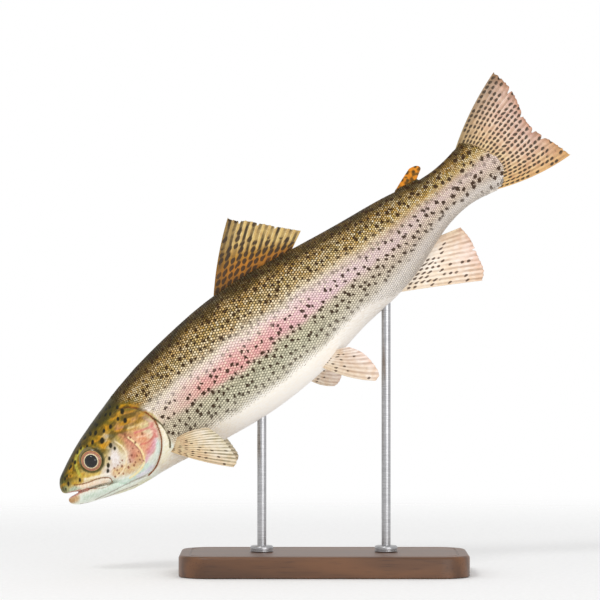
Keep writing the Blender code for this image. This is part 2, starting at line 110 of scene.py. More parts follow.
# The head's plates, as (x, z) outlines from the side.
GILL_COVER = ((51, 11), (57, 19.8), (64.7, 18.3), (71.8, 11), (75.4, 0.5), (72.1, -10.2), (66, -19.0),
              (57, -24.6), (46, -25.6), (38, -21.5), (46, -10), (50, 0))
GILL_FRONT = ((52, 12), (50, 0), (46, -10), (38, -21.5))
MAXILLA = ((7.6, -4.6), (16, -8.6), (24, -10.6), (29.2, -13.2), (30.6, -15.6), (26.4, -17.0), (18, -14.4),
           (11, -10.2))
EYE_PLACE = (27.1, 2.8)
EYE_SIZE = (9.3, 4.8, 9.3)
EYE_TURN = math.radians(12)  # the eye looks a little forward, square to the tapering head
EYE_RIM = 7.0


# -------------------- curves

def srgb(hex_colour):
    return np.array([int(hex_colour[k : k + 2], 16) / 255 for k in (1, 3, 5)])


def linear(shades):
    """Linear red, green and blue from sRGB shares. A hex colour gets an alpha of 1 as well."""
    if isinstance(shades, str):
        return (*linear(srgb(shades)).tolist(), 1.0)
    return np.where(shades <= 0.04045, shades / 12.92, ((shades + 0.055) / 1.055) ** 2.4)


def spline(points):
    """A natural cubic curve through (station, value) points, as a function of the station."""
    x, y = np.array(points, float).T
    count, gap = len(x), np.diff(x)
    system, slope = np.eye(count), np.zeros(count)
    for i in range(1, count - 1):
        system[i, i - 1 : i + 2] = gap[i - 1], 2 * (gap[i - 1] + gap[i]), gap[i]
        slope[i] = 6 * ((y[i + 1] - y[i]) / gap[i] - (y[i] - y[i - 1]) / gap[i - 1])
    bend = np.linalg.solve(system, slope)

    def at(station):
        station = np.clip(station, x[0], x[-1])
        i = np.clip(np.searchsorted(x, station) - 1, 0, count - 2)
        after, before, h = station - x[i], x[i + 1] - station, gap[i]
        curved = (bend[i] * before**3 + bend[i + 1] * after**3) / (6 * h)
        straight = (y[i] / h - bend[i] * h / 6) * before + (y[i + 1] / h - bend[i + 1] * h / 6) * after
        return curved + straight

    return at


def path(points):
    """A smooth curve through points, as a function from shares (0 to 1) to an array of points."""
    points = np.array(points, float)
    along = np.concatenate([[0], np.cumsum(np.linalg.norm(np.diff(points, axis=0), axis=1))])
    along /= along[-1]
    axes = [spline(list(zip(along, values, strict=True))) for values in points.T]
    return lambda share: np.stack([axis(share) for axis in axes], axis=-1)


def smooth_line(points, per_span=5):
    """A line of short straight pieces along the smooth curve through the points."""
    return path(points)(np.linspace(0, 1, per_span * (len(points) - 1) + 1))


def step_between(low, high, value):
    share = np.clip((value - low) / (high - low), 0, 1)
    return share * share * (3 - 2 * share)


def fall_between(low, high, value):
    return 1 - step_between(low, high, value)


def bell(off, width):
    """1 in the middle, and next to nothing at twice the width to either side."""
    return np.exp(-((off / width) ** 2))


def distance(places, line):
    """How far each of the (x, z) places is from a line of straight pieces."""
    best = np.full(len(places), 1e9)
    for start, end in zip(line[:-1], line[1:], strict=True):
        span = end - start
        share = np.clip((places - start) @ span / (span @ span), 0, 1)
        best = np.minimum(best, np.linalg.norm(places - start - share[:, None] * span, axis=1))
    return best


def from_spot(places, spot):
    """How far each of the (x, z) places is from one spot."""
    return np.linalg.norm(places - np.array(spot), axis=1)


def depth_inside(places, outline):
    """How deep each place is inside a closed outline. Outside it the depth is negative."""
    closed = smooth_line([*outline, outline[0]])
    inside = np.zeros(len(places), bool)
    for (x0, z0), (x1, z1) in zip(closed[:-1], closed[1:], strict=True):
        crosses = (z0 > places[:, 1]) != (z1 > places[:, 1])
        reach = x0 + (places[:, 1] - z0) * (x1 - x0) / (z1 - z0 + 1e-12)
        inside ^= crosses & (places[:, 0] < reach)
    return np.where(inside, 1, -1) * distance(places, closed)


def ripple(places, size, seed):
    """A smooth random value from -1 to 1 at each place, whose bumps are about size apart."""
    draw = np.random.default_rng(seed)
    total = np.zeros(len(places))
    for _ in range(6):
        direction = draw.normal(size=places.shape[1])
        direction *= 2 * math.pi * draw.uniform(0.35, 0.8) / (size * np.linalg.norm(direction))
        total += np.sin(places @ direction + draw.uniform(0, 2 * math.pi))
    return np.clip(total / 3, -1, 1)


def crests(points, size, seed, strength=1.5, more=0.0):
    """Soft patches from 0 to 1 where a ripple is high."""
    return np.clip(strength * ripple(points, size, seed) + more, 0, 1)


back, mouth_line, throat = spline(BACK), spline(MOUTH_LINE), spline(THROAT)
half_width, widest_height = spline(HALF_WIDTH), spline(WIDEST_HEIGHT)
jaw_top, jaw_bottom, jaw_half_width = spline(JAW_TOP), spline(JAW_BOTTOM), spline(JAW_HALF_WIDTH)


def belly(x):
    """The underside without the lower jaw: the mouth line, and behind the jaw the throat and the belly."""
    behind_jaw = step_between(*JAW_JOINT, x)
    return mouth_line(x) * (1 - behind_jaw) + throat(x) * behind_jaw


def underside(x):
    """The lowest height of body and jaw."""
    return np.where(x < JAW_END, np.minimum(jaw_bottom(x), belly(x)), belly(x))


def tail_end(z):
    """Where along the trout its flesh ends, at height z."""
    x, heights = np.array(TAIL_END_LINE[::-1], float).T
    return np.interp(z, heights, x)


def scales_start(z):
    x, heights = np.array(SCALES_START_LINE[::-1], float).T
    return np.interp(z, heights, x)


# -------------------- trout's form

class Form:
    """A lofted form: how high, deep and wide its rings are at each station, and how square they are."""

    def __init__(self, tip, nose_height, end, top, bottom, width, widest, upper, lower):
        self.tip, self.nose_height, self.end = tip, nose_height, end
        self.top, self.bottom, self.width, self.widest = top, bottom, width, widest
        self.upper, self.lower = upper, lower

    def rings(self, stations, turns):
        """The points of the rings at the stations: turn 0 is the right side, a quarter turn is the back."""
        x = np.asarray(stations, float)[:, None]
        ahead = np.minimum(1.0, (x - self.tip) / NOSE_ROUNDING)
        rounded = np.sqrt(np.maximum(0.0, 1 - (1 - ahead) ** 2))
        middle = self.nose_height + (self.widest(x) - self.nose_height) * ahead
        cos, sin = np.cos(turns)[None], np.sin(turns)[None]
        square = np.where(sin > 0, self.upper, self.lower(x))
        height = np.where(sin > 0, self.top(x) - middle, middle - self.bottom(x))
        y = rounded * self.width(x) * np.sign(cos) * np.abs(cos) ** (2 / square)
        z = middle + rounded * height * np.sign(sin) * np.abs(sin) ** (2 / square)
        return np.stack([np.broadcast_to(x, y.shape), y, z], axis=-1)

    def side(self, x, z):
        """How far out the surface is at (x, z)."""
        middle = self.widest(x)
        above = z > middle
        reach = np.where(above, self.top(x) - middle, middle - self.bottom(x))
        square = np.where(above, self.upper, self.lower(x))
        rise = np.clip(np.abs(z - middle) / reach, 0, 1)
        return self.width(x) * (1 - rise**square) ** (1 / square)


BODY = Form(BODY_TIP, -1.9, BODY_END, back, belly, half_width, widest_height, 2.15,
            lambda x: 4.0 - 1.8 * step_between(*JAW_JOINT, x))
JAW = Form(JAW_TIP, -10.6, JAW_END, jaw_top, jaw_bottom, jaw_half_width, lambda x: jaw_top(x) - 1.8, 3.0,
           lambda x: 2.2)


class Girth:
    """Distances round the trout from the middle of its back."""

    STEP, SPANS = 3.0, 90
    STATIONS = np.arange(-2.0, BODY_END + 1, STEP)
    ANGLES = np.linspace(0, math.pi, SPANS + 1)

    def __init__(self):
        x, middle = self.STATIONS[:, None], widest_height(self.STATIONS)[:, None]
        rings = BODY.rings(self.STATIONS, np.linspace(math.pi / 2, -math.pi / 2, 2 * self.SPANS + 1))
        below = rings[:, :, 2] - middle
        to_jaw = (middle - underside(x)) / (middle - belly(x))
        rings[:, :, 2] = np.where(below < 0, middle + below * to_jaw, rings[:, :, 2])
        lengths = np.cumsum(np.linalg.norm(np.diff(rings, axis=1), axis=2), axis=1)
        lengths = np.pad(lengths, ((0, 0), (1, 0)))
        angles = np.arctan2(np.abs(rings[:, :, 1]), rings[:, :, 2] - middle)
        self.table = np.array([np.interp(self.ANGLES, a, l) for a, l in zip(angles, lengths, strict=True)])

    def at(self, points):
        """The signed distance of each point from the back's middle line, negative on the left."""
        x, y, z = points.T
        row = np.clip((x - self.STATIONS[0]) / self.STEP, 0, len(self.STATIONS) - 1.001)
        column = np.arctan2(np.abs(y), z - widest_height(x)) / math.pi * self.SPANS
        column = np.clip(column, 0, self.SPANS - 0.001)
        i, j = row.astype(int), column.astype(int)
        a, b, table = row - i, column - j, self.table
        near = table[i, j] * (1 - b) + table[i, j + 1] * b
        far = table[i + 1, j] * (1 - b) + table[i + 1, j + 1] * b
        return np.where(y < 0, LEFT, RIGHT) * (near * (1 - a) + far * a)


GIRTH = Girth()


def pose():
    """From the level trout in millimetres to its dive over the stand in metres."""
    turn = Matrix.Rotation(-DIVE_ANGLE, 4, "Y")
    return Matrix.Translation((SNOUT_X, 0, SNOUT_Z)) @ turn @ Matrix.Scale(MM, 4)


# -------------------- tools

def mesh_from(name, points, faces, edges=()):
    mesh = bpy.data.meshes.new(name)
    mesh.from_pydata(np.asarray(points).tolist(), edges, faces)
    mesh.update()
    return mesh


def face_out(mesh, merge=0.0):
    """Turns the faces outwards. Points that are closer than merge become one first."""
    shape = bmesh.new()
    shape.from_mesh(mesh)
    if merge:
        bmesh.ops.remove_doubles(shape, verts=shape.verts, dist=merge)
    bmesh.ops.recalc_face_normals(shape, faces=shape.faces)
    shape.to_mesh(mesh)
    shape.free()


def shown(name, mesh):
    obj = bpy.data.objects.new(name, mesh)
    bpy.context.scene.collection.objects.link(obj)
    return obj


def applied(obj):
    """The object's mesh with its modifiers, as a plain mesh. The object itself is removed."""
    bpy.context.view_layer.update()
    graph = bpy.context.evaluated_depsgraph_get()
    mesh = bpy.data.meshes.new_from_object(obj.evaluated_get(graph), depsgraph=graph)
    bpy.data.objects.remove(obj)
    return mesh


def rows_of_three(elements, field):
    """A field of a mesh's vertices or normals, as one row for each."""
    flat = np.empty(len(elements) * 3, np.float32)
    elements.foreach_get(field, flat)
    return flat.reshape(-1, 3).astype(float)


def set_attribute(mesh, name, kind, values):
    field = {"FLOAT": "value", "FLOAT_VECTOR": "vector", "FLOAT_COLOR": "color", "FLOAT2": "vector"}[kind]
    attribute = mesh.attributes.new(name, kind, "POINT")
    attribute.data.foreach_set(field, np.ascontiguousarray(values, np.float32).ravel())


def finished(obj, nodes=(), material=None):
    """Every piece rides on the one body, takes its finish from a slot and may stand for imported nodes."""
    if material is not None:
        obj.data.materials.clear()
        obj.data.materials.append(material)
    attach(obj, "root")
    if nodes:
        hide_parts(*nodes)
    return obj


# Kinds of node. A pair is a kind and the settings that it always has here.
ADD, SUBTRACT, MULTIPLY, MULTIPLY_ADD, DIVIDE, POWER, ABSOLUTE, FLOOR, FRACT = (
    ("ShaderNodeMath", {"operation": word}) for word in
    ("ADD", "SUBTRACT", "MULTIPLY", "MULTIPLY_ADD", "DIVIDE", "POWER", "ABSOLUTE", "FLOOR", "FRACT"))
MIX = ("ShaderNodeMix", {"data_type": "RGBA"})
OVERLAY = ("ShaderNodeMix", {"data_type": "RGBA", "blend_type": "OVERLAY"})
RANGE = "ShaderNodeMapRange"
SMOOTH_RANGE = ("ShaderNodeMapRange", {"interpolation_type": "SMOOTHSTEP"})
VECTOR, RAMP = "ShaderNodeVectorMath", "ShaderNodeValToRGB"
NOISE, WAVE = "ShaderNodeTexNoise", "ShaderNodeTexWave"
SPLIT, JOIN, GROUP = "ShaderNodeSeparateXYZ", "ShaderNodeCombineXYZ", "ShaderNodeGroup"
COORDINATES, MAPPING, FIELD = "ShaderNodeTexCoord", "ShaderNodeMapping", "ShaderNodeAttribute"
BUMP, SURFACE, OUTPUT = "ShaderNodeBump", "ShaderNodeBsdfPrincipled", "ShaderNodeOutputMaterial"
STORED_VECTOR = ("GeometryNodeInputNamedAttribute", {"data_type": "FLOAT_VECTOR"})
STORED_NUMBER = ("GeometryNodeInputNamedAttribute", {"data_type": "FLOAT"})
RANDOM, EULER = ("FunctionNodeRandomValue", {"data_type": "FLOAT"}), "FunctionNodeEulerToRotation"
REALIZE, DRESS = "GeometryNodeRealizeInstances", "GeometryNodeSetMaterial"


def add(tree, kind, inputs=(), stops=(), **settings):
    """Adds a node with its settings. An input is a value, a socket, or a node, for its first output."""
    name, own_settings = (kind, {}) if isinstance(kind, str) else kind
    node = tree.nodes.new(name)
    for setting, value in {**own_settings, **settings}.items():
        setattr(node, setting, value)
    if isinstance(inputs, dict):
        wanted = [(node.inputs[name], value) for name, value in inputs.items()]
    else:
        wanted = list(zip([socket for socket in node.inputs if socket.enabled], inputs))
    for socket, value in wanted:
        if isinstance(value, bpy.types.Node):
            value = next(output for output in value.outputs if output.enabled)
        if isinstance(value, bpy.types.NodeSocket):
            tree.links.new(value, socket)
        else:
            socket.default_value = value
    while len(stops) > len(node.color_ramp.elements if stops else ()):
        node.color_ramp.elements.new(1.0)
    for place, (position, shade) in enumerate(stops):
        element = node.color_ramp.elements[place]
        element.position = position
        element.color = linear(shade) if isinstance(shade, str) else (shade, shade, shade, 1)
    return node


def new_material(name):
    """An empty node material and its tree."""
    made = bpy.data.materials.new(name)
    made.use_nodes = True
    made.node_tree.nodes.clear()
    return made, made.node_tree


def new_group(name, kind, inputs, output):
    """A node group with the named inputs and one output, and the sockets that its inputs come in by."""
    tree = bpy.data.node_groups.new(name, kind)
    for socket, sort in inputs.items():
        tree.interface.new_socket(socket, in_out="INPUT", socket_type=f"NodeSocket{sort}")
    tree.interface.new_socket(output, in_out="OUTPUT", socket_type=f"NodeSocket{output}")
    return tree, add(tree, "NodeGroupInput").outputs


# -------------------- markings

# The bright middle of each scale, up the trunk and up the tail stalk, by height as a share of the depth. Then
# the pink band, the dark edges, the spots, the gilt patches and the painted glints, by height or by length.
TRUNK_COLOURS = ((0.02, "#fffaf2"), (0.14, "#fbf5ea"), (0.20, "#e0d9c4"), (0.27, "#dcd8bc"),
                 (0.37, "#d8d2b2"), (0.44, "#efd6c4"), (0.50, "#f8e6e0"), (0.60, "#fff2ea"),
                 (0.65, "#fdeed6"), (0.69, "#f8dcb0"), (0.74, "#f8d894"), (0.80, "#dfba62"),
                 (0.87, "#cda04a"), (0.92, "#66501a"), (0.97, "#322808"))
# The tail stalk's lowest stops are greyer: partly its own grey-lilac, partly painted shade of its underside.
TAIL_COLOURS = ((0.05, "#c4bab0"), (0.13, "#d2c8c0"), (0.20, "#dacdc1"), (0.30, "#e6d0bc"), (0.41, "#edd4c8"),
                (0.48, "#e0c6bc"), (0.55, "#d4b8a6"), (0.62, "#cfb084"), (0.68, "#e7c276"), (0.75, "#e6be54"),
                (0.80, "#cba348"), (0.86, "#ac8836"), (0.93, "#5a471c"), (1.0, "#40320f"))
BAND_HEIGHTS = ((0.40, 0.0), (0.445, 1.0), (0.52, 0.85), (0.59, 0.32), (0.66, 0.0))
BAND_LENGTHS = ((0.19, 0.05), (0.24, 0.5), (0.29, 1.0), (0.44, 1.0), (0.55, 0.75), (0.66, 0.35), (0.85, 0.15))
BAND_COLOURS = ((0.20, "#eec8bc"), (0.28, "#f2ada6"), (0.40, "#f4b1ae"), (0.48, "#f3bec6"), (0.56, "#eecbd8"),
                (0.70, "#ead6dc"), (0.88, "#eadad4"))
EDGE_DEPTHS = ((0.05, 0.0), (0.15, 0.02), (0.20, 0.24), (0.28, 0.50), (0.40, 0.42), (0.46, 0.18),
               (0.60, 0.15), (0.65, 0.34), (0.70, 0.78), (0.80, 0.92), (0.90, 0.88), (0.97, 0.5))
SPOT_HEIGHTS = ((0.15, 0.0), (0.20, 0.8), (0.30, 1.0), (0.53, 1.0), (0.57, 0.45), (0.65, 0.45), (0.69, 1.0))
GILT_HEIGHTS = ((0.66, 0.0), (0.71, 1.0), (0.86, 1.0), (0.93, 0.25))
PAINTED_GLINT_HEIGHTS = ((0.15, 0.3), (0.70, 1.0), (0.84, 0.9), (0.92, 0.1))


def markings_group(look):
    """Colours of skin and scales from their place: metres from the snout, girth from the back, and height.

    Rim runs from a scale's middle, 0, to its edge, 1, and Shine is a different share on every scale. A high
    Shine gives a painted glint, the scale lightened towards pale cream as if it caught the light; a low one
    darkens it.
    """
    tree, given = new_group("trout_markings", "ShaderNodeTree",
                            {"Place": "Vector", "Rim": "Float", "Shine": "Float"}, "Color")
    axes = add(tree, SPLIT, [given["Place"]]).outputs
    along = add(tree, DIVIDE, [axes["X"], TROUT_LENGTH * MM])
    flat = add(tree, JOIN, [axes["X"], axes["Y"]])
    drift = add(tree, NOISE, {"Vector": flat, "Scale": 60.0, "Detail": 4.0})
    wave = add(tree, MULTIPLY_ADD, [drift, 0.11, -0.055])
    height = add(tree, ADD, [axes["Z"], wave])

    trunk = add(tree, RAMP, [height], TRUNK_COLOURS)
    tail = add(tree, RAMP, [height], TAIL_COLOURS)
    ground = add(tree, MIX, [add(tree, RAMP, [along], ((0.47, 0.0), (0.70, 1.0))), trunk, tail])
    patches = add(tree, RAMP, [add(tree, NOISE, {"Vector": flat, "Scale": 95.0, "Detail": 3.0})],
                  ((0.44, 0.0), (0.62, 0.75)))
    gilt = add(tree, MULTIPLY, [patches, add(tree, RAMP, [height], GILT_HEIGHTS)])
    gilt = add(tree, MULTIPLY, [gilt, add(tree, RAMP, [along], ((0.2, 0.4), (0.6, 0.7), (0.9, 1.0)))])
    ground = add(tree, MIX, [gilt, ground, linear("#d69a1e")])
    shoulder = add(tree, MULTIPLY, [add(tree, RAMP, [along], ((0.20, 0.8), (0.31, 0.0))),
                                add(tree, RAMP, [height], ((0.5, 1.0), (0.62, 0.35), (0.7, 0.0)))])
    ground = add(tree, MIX, [shoulder, ground, linear("#e2d2b8")])
    band = add(tree, MULTIPLY, [add(tree, RAMP, [height], BAND_HEIGHTS),
                                add(tree, RAMP, [along], BAND_LENGTHS)])
    light = add(tree, MIX, [band, ground, add(tree, RAMP, [along], BAND_COLOURS)])

    dark = add(tree, MIX, [add(tree, RAMP, [height], EDGE_DEPTHS), light, look.edge_colour])
    # Painted glint: scales with a high Shine are lightened towards pale cream, as if they caught the light.
    painted_glint = add(tree, RAMP, [given["Shine"]], ((0.42, 0.0), (0.62, 0.4), (1.0, 1.0)))
    painted_glint = add(tree, MULTIPLY, [painted_glint, add(tree, RAMP, [height], PAINTED_GLINT_HEIGHTS)])
    bright = add(tree, MIX, [painted_glint, light, linear("#fff3d4")])
    dull = add(tree, RAMP, [given["Shine"]], ((0.0, 0.95), (0.30, 0.30), (0.46, 0.0)))
    middle = add(tree, MIX, [dull, bright, dark])
    netted = add(tree, MIX, [given["Rim"], middle, dark])

    line_height = add(tree, RANGE, [along, 0.35, 0.88, 0.662, 0.50])
    off_line = add(tree, ABSOLUTE, [add(tree, SUBTRACT, [axes["Z"], line_height])])
    on_line = add(tree, RANGE, [off_line, 0.003, 0.011, 0.38, 0.0])
    lined = add(tree, MIX, [on_line, netted, linear("#7d6450")])

    jagged = add(tree, NOISE, {"Vector": flat, "Scale": 700.0, "Detail": 2.0})
    cells = add(tree, "ShaderNodeTexVoronoi",
                {"Vector": flat, "Scale": 1 / look.spot_spacing, "Randomness": look.spot_scatter},
                voronoi_dimensions="2D")
    lot = add(tree, "ShaderNodeSeparateColor", [cells.outputs["Color"]])
    size = add(tree, MULTIPLY, [add(tree, RAMP, [lot], ((0.04, 0.0), (0.10, 0.66), (0.95, 1.0))),
                                look.spot_size])
    size = add(tree, MULTIPLY, [size, add(tree, RANGE, [along, 0.62, 0.86, 1.0, 1.25])])
    ragged = add(tree, MULTIPLY_ADD, [jagged, 0.70, -0.35])
    apart = add(tree, ADD, [cells.outputs["Distance"], ragged])
    inside = add(tree, SUBTRACT, [size, apart])
    lowest = add(tree, ADD, [axes["Z"], add(tree, RANGE, [along, 0.76, 0.88, 0.0, 0.15])])
    spot = add(tree, MULTIPLY, [add(tree, RANGE, [inside, -0.035, 0.03, 0.0, 0.95]),
                            add(tree, RAMP, [lowest], SPOT_HEIGHTS)])
    final = add(tree, MIX, [spot, lined, look.spot_colour])
    add(tree, "NodeGroupOutput", {"Color": final})
    return tree


def skin_material(markings):
    """Moist bare skin under and ahead of the scales: dark olive above, pale below, with a wet gloss."""
    made, tree = new_material("moist_trout_skin")
    place = add(tree, FIELD, attribute_name="place").outputs["Vector"]
    paint = add(tree, FIELD, attribute_name="paint").outputs
    body = add(tree, GROUP, {"Place": place, "Rim": 0.85, "Shine": 0.4}, node_tree=markings)
    colour = add(tree, MIX, [paint["Alpha"], body, paint["Color"]])
    slanted = add(tree, MAPPING, {"Vector": place, "Rotation": (0, 0, 0.7), "Scale": (0.9, 1.9, 0.0)})
    strokes = add(tree, NOISE, {"Vector": slanted, "Scale": 420.0, "Detail": 4.0})
    shade = add(tree, RAMP, [strokes], ((0.30, 0.12), (0.70, 0.88)))
    colour = add(tree, OVERLAY, [0.42, colour, shade])
    flecks = add(tree, NOISE, {"Vector": add(tree, COORDINATES).outputs["Object"], "Scale": 1400.0,
                               "Detail": 3.0})
    colour = add(tree, OVERLAY, [0.3, colour, flecks])
    pores = add(tree, BUMP, {"Height": flecks, "Strength": 0.35, "Distance": 0.00012})
    add(tree, OUTPUT, {"Surface": add(tree, SURFACE, {
        "Base Color": colour, "Normal": pores, "Roughness": 0.38, "Specular IOR Level": 0.14,
        "Coat Weight": 0.05, "Coat Roughness": 0.12})})
    return made


def scale_material(markings):
    """Thin horny scales with a silvery gloss: pale in the middle, dark round the free rim."""
    made, tree = new_material("silvery_trout_scale")
    place, blade = (add(tree, FIELD, attribute_name=name).outputs["Vector"] for name in ("place", "blade"))
    pitch = add(tree, FIELD, attribute_name="pitch").outputs["Fac"]
    within = add(tree, VECTOR, {"Vector": blade, "Scale": pitch}, operation="SCALE")
    within = add(tree, VECTOR, [within, (1, 1, 0)], operation="MULTIPLY")
    spread = add(tree, VECTOR, [place, within], operation="ADD")
    from_middle = add(tree, SPLIT, [add(tree, VECTOR, [blade, (0.95, 0, 0)], operation="SUBTRACT")]).outputs
    off = [add(tree, POWER, [add(tree, DIVIDE, [from_middle[axis], reach]), 2.0])
           for axis, reach in (("X", 0.62), ("Y", 0.60))]
    rim = add(tree, SMOOTH_RANGE, [add(tree, ADD, off), 0.10, 0.72, 0.0, 1.0])
    lot = add(tree, "ShaderNodeTexWhiteNoise", [place])
    body = add(tree, GROUP, {"Place": spread, "Rim": rim, "Shine": lot}, node_tree=markings)
    paint = add(tree, FIELD, attribute_name="paint").outputs
    colour = add(tree, MIX, [paint["Alpha"], body, paint["Color"]])
    rings = add(tree, WAVE, {"Vector": blade, "Scale": 2.2}, wave_type="RINGS", rings_direction="Z")
    ridged = add(tree, BUMP, {"Height": rings.outputs["Fac"], "Strength": 0.15, "Distance": 0.00004})
    add(tree, OUTPUT, {"Surface": add(tree, SURFACE, {
        "Base Color": colour, "Normal": ridged, "Roughness": 0.42, "Specular IOR Level": 0.18,
        "Coat Weight": 0.03, "Coat Roughness": 0.15})})
    return made


# -------------------- head's paint

# Pigments of the head from broad to fine, with painted shade in its creases, grooves and gill slit, as name:
# (colour, width, strength, line as (x, z)).
STROKES = {
    "olive crown": ("#4c4812", 9, 0.8, ((-1, 6), (18, 13.5), (38, 21), (60, 28), (80, 34))),
    "golden olive crown": ("#a07a18", 7, 0.8, ((61.2, 15.2), (46.2, 13.5), (37.5, 14.2), (25.6, 13.7),
        (15.9, 8.2), (10.6, 4.1))),
    "gold behind the eye": ("#c88c14", 5, 0.85, ((46, 14.8), (38.3, 9))),
    "orange by the eye": ("#e0a020", 3, 0.85, ((39.3, 9), (38.0, 6.7))),
    "gold over the gill": ("#d29a34", 4, 0.7, ((56.1, 17.7), (61.4, 15.6), (63.5, 8.9), (65.4, 5.2))),
    "gold under the eye": ("#c9a236", 4.5, 0.75, ((10.4, 0.7), (16.7, -3.3), (25, -6))),
    "gold lip": ("#b98a18", 2.5, 0.7, ((7.6, -2.4), (13, -5.2))),
    "lavender cheek": ("#e0d6dc", 6.5, 0.65, ((44.2, 9.3), (43.7, 3.9), (41.4, -2.4), (37.9, -7.9),
        (31.8, -9.2))),
    "white cheek": ("#eee8ea", 4.5, 0.6, ((42.8, -1.2), (39.6, -5.7))),
    "brown cheek": ("#bc8a60", 5, 0.7, ((53.8, 11.4), (60.9, 8.5), (67.6, 8.2))),
    "pink cheek": ("#c67c64", 6.5, 0.9, ((53.9, 6.8), (54.3, -0.4), (53.1, -7.6), (49.7, -13.1))),
    "orange gill cover": ("#d98a62", 8.5, 0.85, ((61.4, -1.3), (61.6, -9.2), (57.4, -11.9))),
    "magenta gill cover": ("#d27c78", 4, 0.8, ((72.9, -1.5), (71.1, -8.1), (65.8, -12.3), (61.2, -14.6))),
    "brown gill cover": ("#a87638", 5, 0.8, ((62.5, 13.5), (67.7, 11.0), (71.6, 5.7))),
    "lilac gill cover": ("#cfb0a4", 2.5, 0.7, ((71.6, 6.7), (73.6, 1))),
    "cream streak": ("#f0d2a8", 1.6, 0.6, ((58.7, 5.2), (64.9, 4.2), (70.1, 2.2))),
    "low cream streak": ("#f4d8bc", 1.3, 0.55, ((60.2, -2.4), (65.5, -4.6), (71.0, -5.0))),
    "red streak": ("#c4685c", 1.4, 0.6, ((59.5, -7.6), (65.2, -9.2), (70.9, -7.4))),
    "rose streak": ("#cd6f70", 1.3, 0.6, ((60.6, 0.9), (66.3, -0.8), (72.0, -2.2))),
    "gold streak": ("#b98a2c", 1.6, 0.55, ((54.9, 10.2), (61.1, 10.6), (67.0, 9.6))),
    "peach cheek": ("#d4a76c", 6, 0.8, ((35.4, -13), (41.3, -15), (49, -17.2), (53.9, -15.1))),
    "mint jaw corner": ("#c8e0d0", 4, 0.75, ((30.3, -20.7), (38.5, -22.1), (47.4, -22.4), (54.2, -21))),
    "white mint jaw": ("#d6e0d3", 4, 0.7, ((21.4, -18.8), (30.6, -20.4))),
    "mint gill stripe": ("#cfe0d8", 3, 0.85, ((52.7, -24.5), (60.9, -21.3), (67.4, -15.8), (69.6, -11.7))),
    "pink gill stripe": ("#dba3b0", 2.4, 0.85, ((55.1, -18.2), (61.9, -15.2), (68, -11.6))),
    "lavender gill stripe": ("#d9cfe0", 2.5, 0.8, ((44.6, -23.2), (50.7, -24.2), (56.6, -23.9))),
    "first pale ridge": ("#f0dcb8", 1.1, 0.8, ((46.7, 4), (48.6, -2), (47.4, -8), (43.7, -12.2),
        (38, -14.9), (32.8, -15.7))),
    "second pale ridge": ("#f3e0a8", 1.3, 0.85, ((55.4, 1.1), (57.2, -6), (56.7, -13.7), (53.9, -18.5),
        (47.9, -21), (40.3, -21.2))),
    # Painted shade along the front of the second pale ridge.
    "ridge shade": ("#a8705c", 0.8, 0.7, ((54.2, 1.1), (56.0, -6), (55.5, -13.7), (52.9, -17.5))),
    "maxilla": ("#f0d8c0", 3, 0.9, ((11, -6.4), (19.5, -10.3), (27, -14.3))),
    # This line and the next are painted shade in the sunk grooves along the maxilla's upper and lower edges.
    "maxilla top line": ("#7c4a26", 0.7, 0.85, ((7.6, -3.4), (14.3, -6.7), (21.1, -8.6), (27.7, -11.7),
        (29.9, -14.5), (28.9, -16.5))),
    "maxilla low line": ("#9c7058", 0.6, 0.75, ((28.7, -16.5), (25.2, -16.9), (19, -14.4), (12.9, -10.4),
        (8.7, -9.3))),
    "white lip": ("#f4ead8", 1.8, 0.85, ((15.6, -4.8), (23.7, -7.4), (31.2, -11.0))),
    "grey snout": ("#7f8f74", 4, 0.7, ((0.8, -1.4), (1.7, -4.9), (6, -6.3))),
    "snout tip": ("#5b6238", 4, 0.7, ((4.1, 5.4), (0.4, 1.2))),
    "mint upper lip": ("#b9c9b4", 2, 0.75, ((3.9, -4.6), (9.5, -6.9))),
    "jaw tip": ("#b0763a", 4.5, 0.8, ((-0.6, -9.9), (3, -11.3))),
    "pale jaw": ("#c9d5c6", 5, 0.8, ((8.2, -14.9), (17.8, -17.4), (28.2, -20.4))),
    "red jaw edge": ("#b97464", 0.9, 0.65, ((4.3, -9.3), (10.4, -9.6), (13.8, -11.4))),
    "yellow throat": ("#e2deb4", 4, 0.7, ((27.3, -25.8), (38.4, -28.9), (49.5, -29.6))),
    # The three gill folds are painted shade in the sunk creases of the throat's folds.
    "first gill fold": ("#9a8d80", 0.7, 0.6, ((2.9, -15.8), (11.9, -20.2), (19.7, -22.3), (27.8, -24.1),
        (41.2, -27.8))),
    "second gill fold": ("#9a8d80", 0.7, 0.55, ((12.9, -19.4), (25.1, -21.5), (37.4, -23.6), (49.1, -26.4))),
    "third gill fold": ("#9a8d80", 0.6, 0.5, ((38.7, -23.4), (47.6, -25.3), (53.7, -26.4))),
    "pink throat": ("#e6cdb8", 12, 0.6, ((63.5, -26.5), (71.7, -27.9), (80.2, -31.9))),
    "cream behind the gill": ("#f3ead0", 5, 0.9, ((77.6, -6), (76, -13.3), (73.5, -17.2), (69.6, -21.1),
        (64.7, -25.0))),
    "gold behind the gill": ("#d8980c", 2.2, 0.85, ((63.9, 19.9), (68.5, 17.2), (72.4, 13.5))),
    # Painted shade in the slit under the gill cover's free edge.
    "gill opening": ("#7a3c1a", 1.0, 0.9, ((61.2, 19.2), (66.6, 17.2), (71.6, 12.4), (74.6, 6.6), (75.9, 0.6),
        (75.1, -5.2), (72.9, -11.4), (68.7, -17.6), (63.6, -22.1),
        (58.1, -25.4), (50.8, -27.1))),
    "olive shoulder line": ("#4a3f22", 1.2, 0.85, ((76.4, 1), (77.4, -2), (78.2, -8.3), (77.4, -12.9),
        (76.0, -17), (73.6, -20.4))),
}
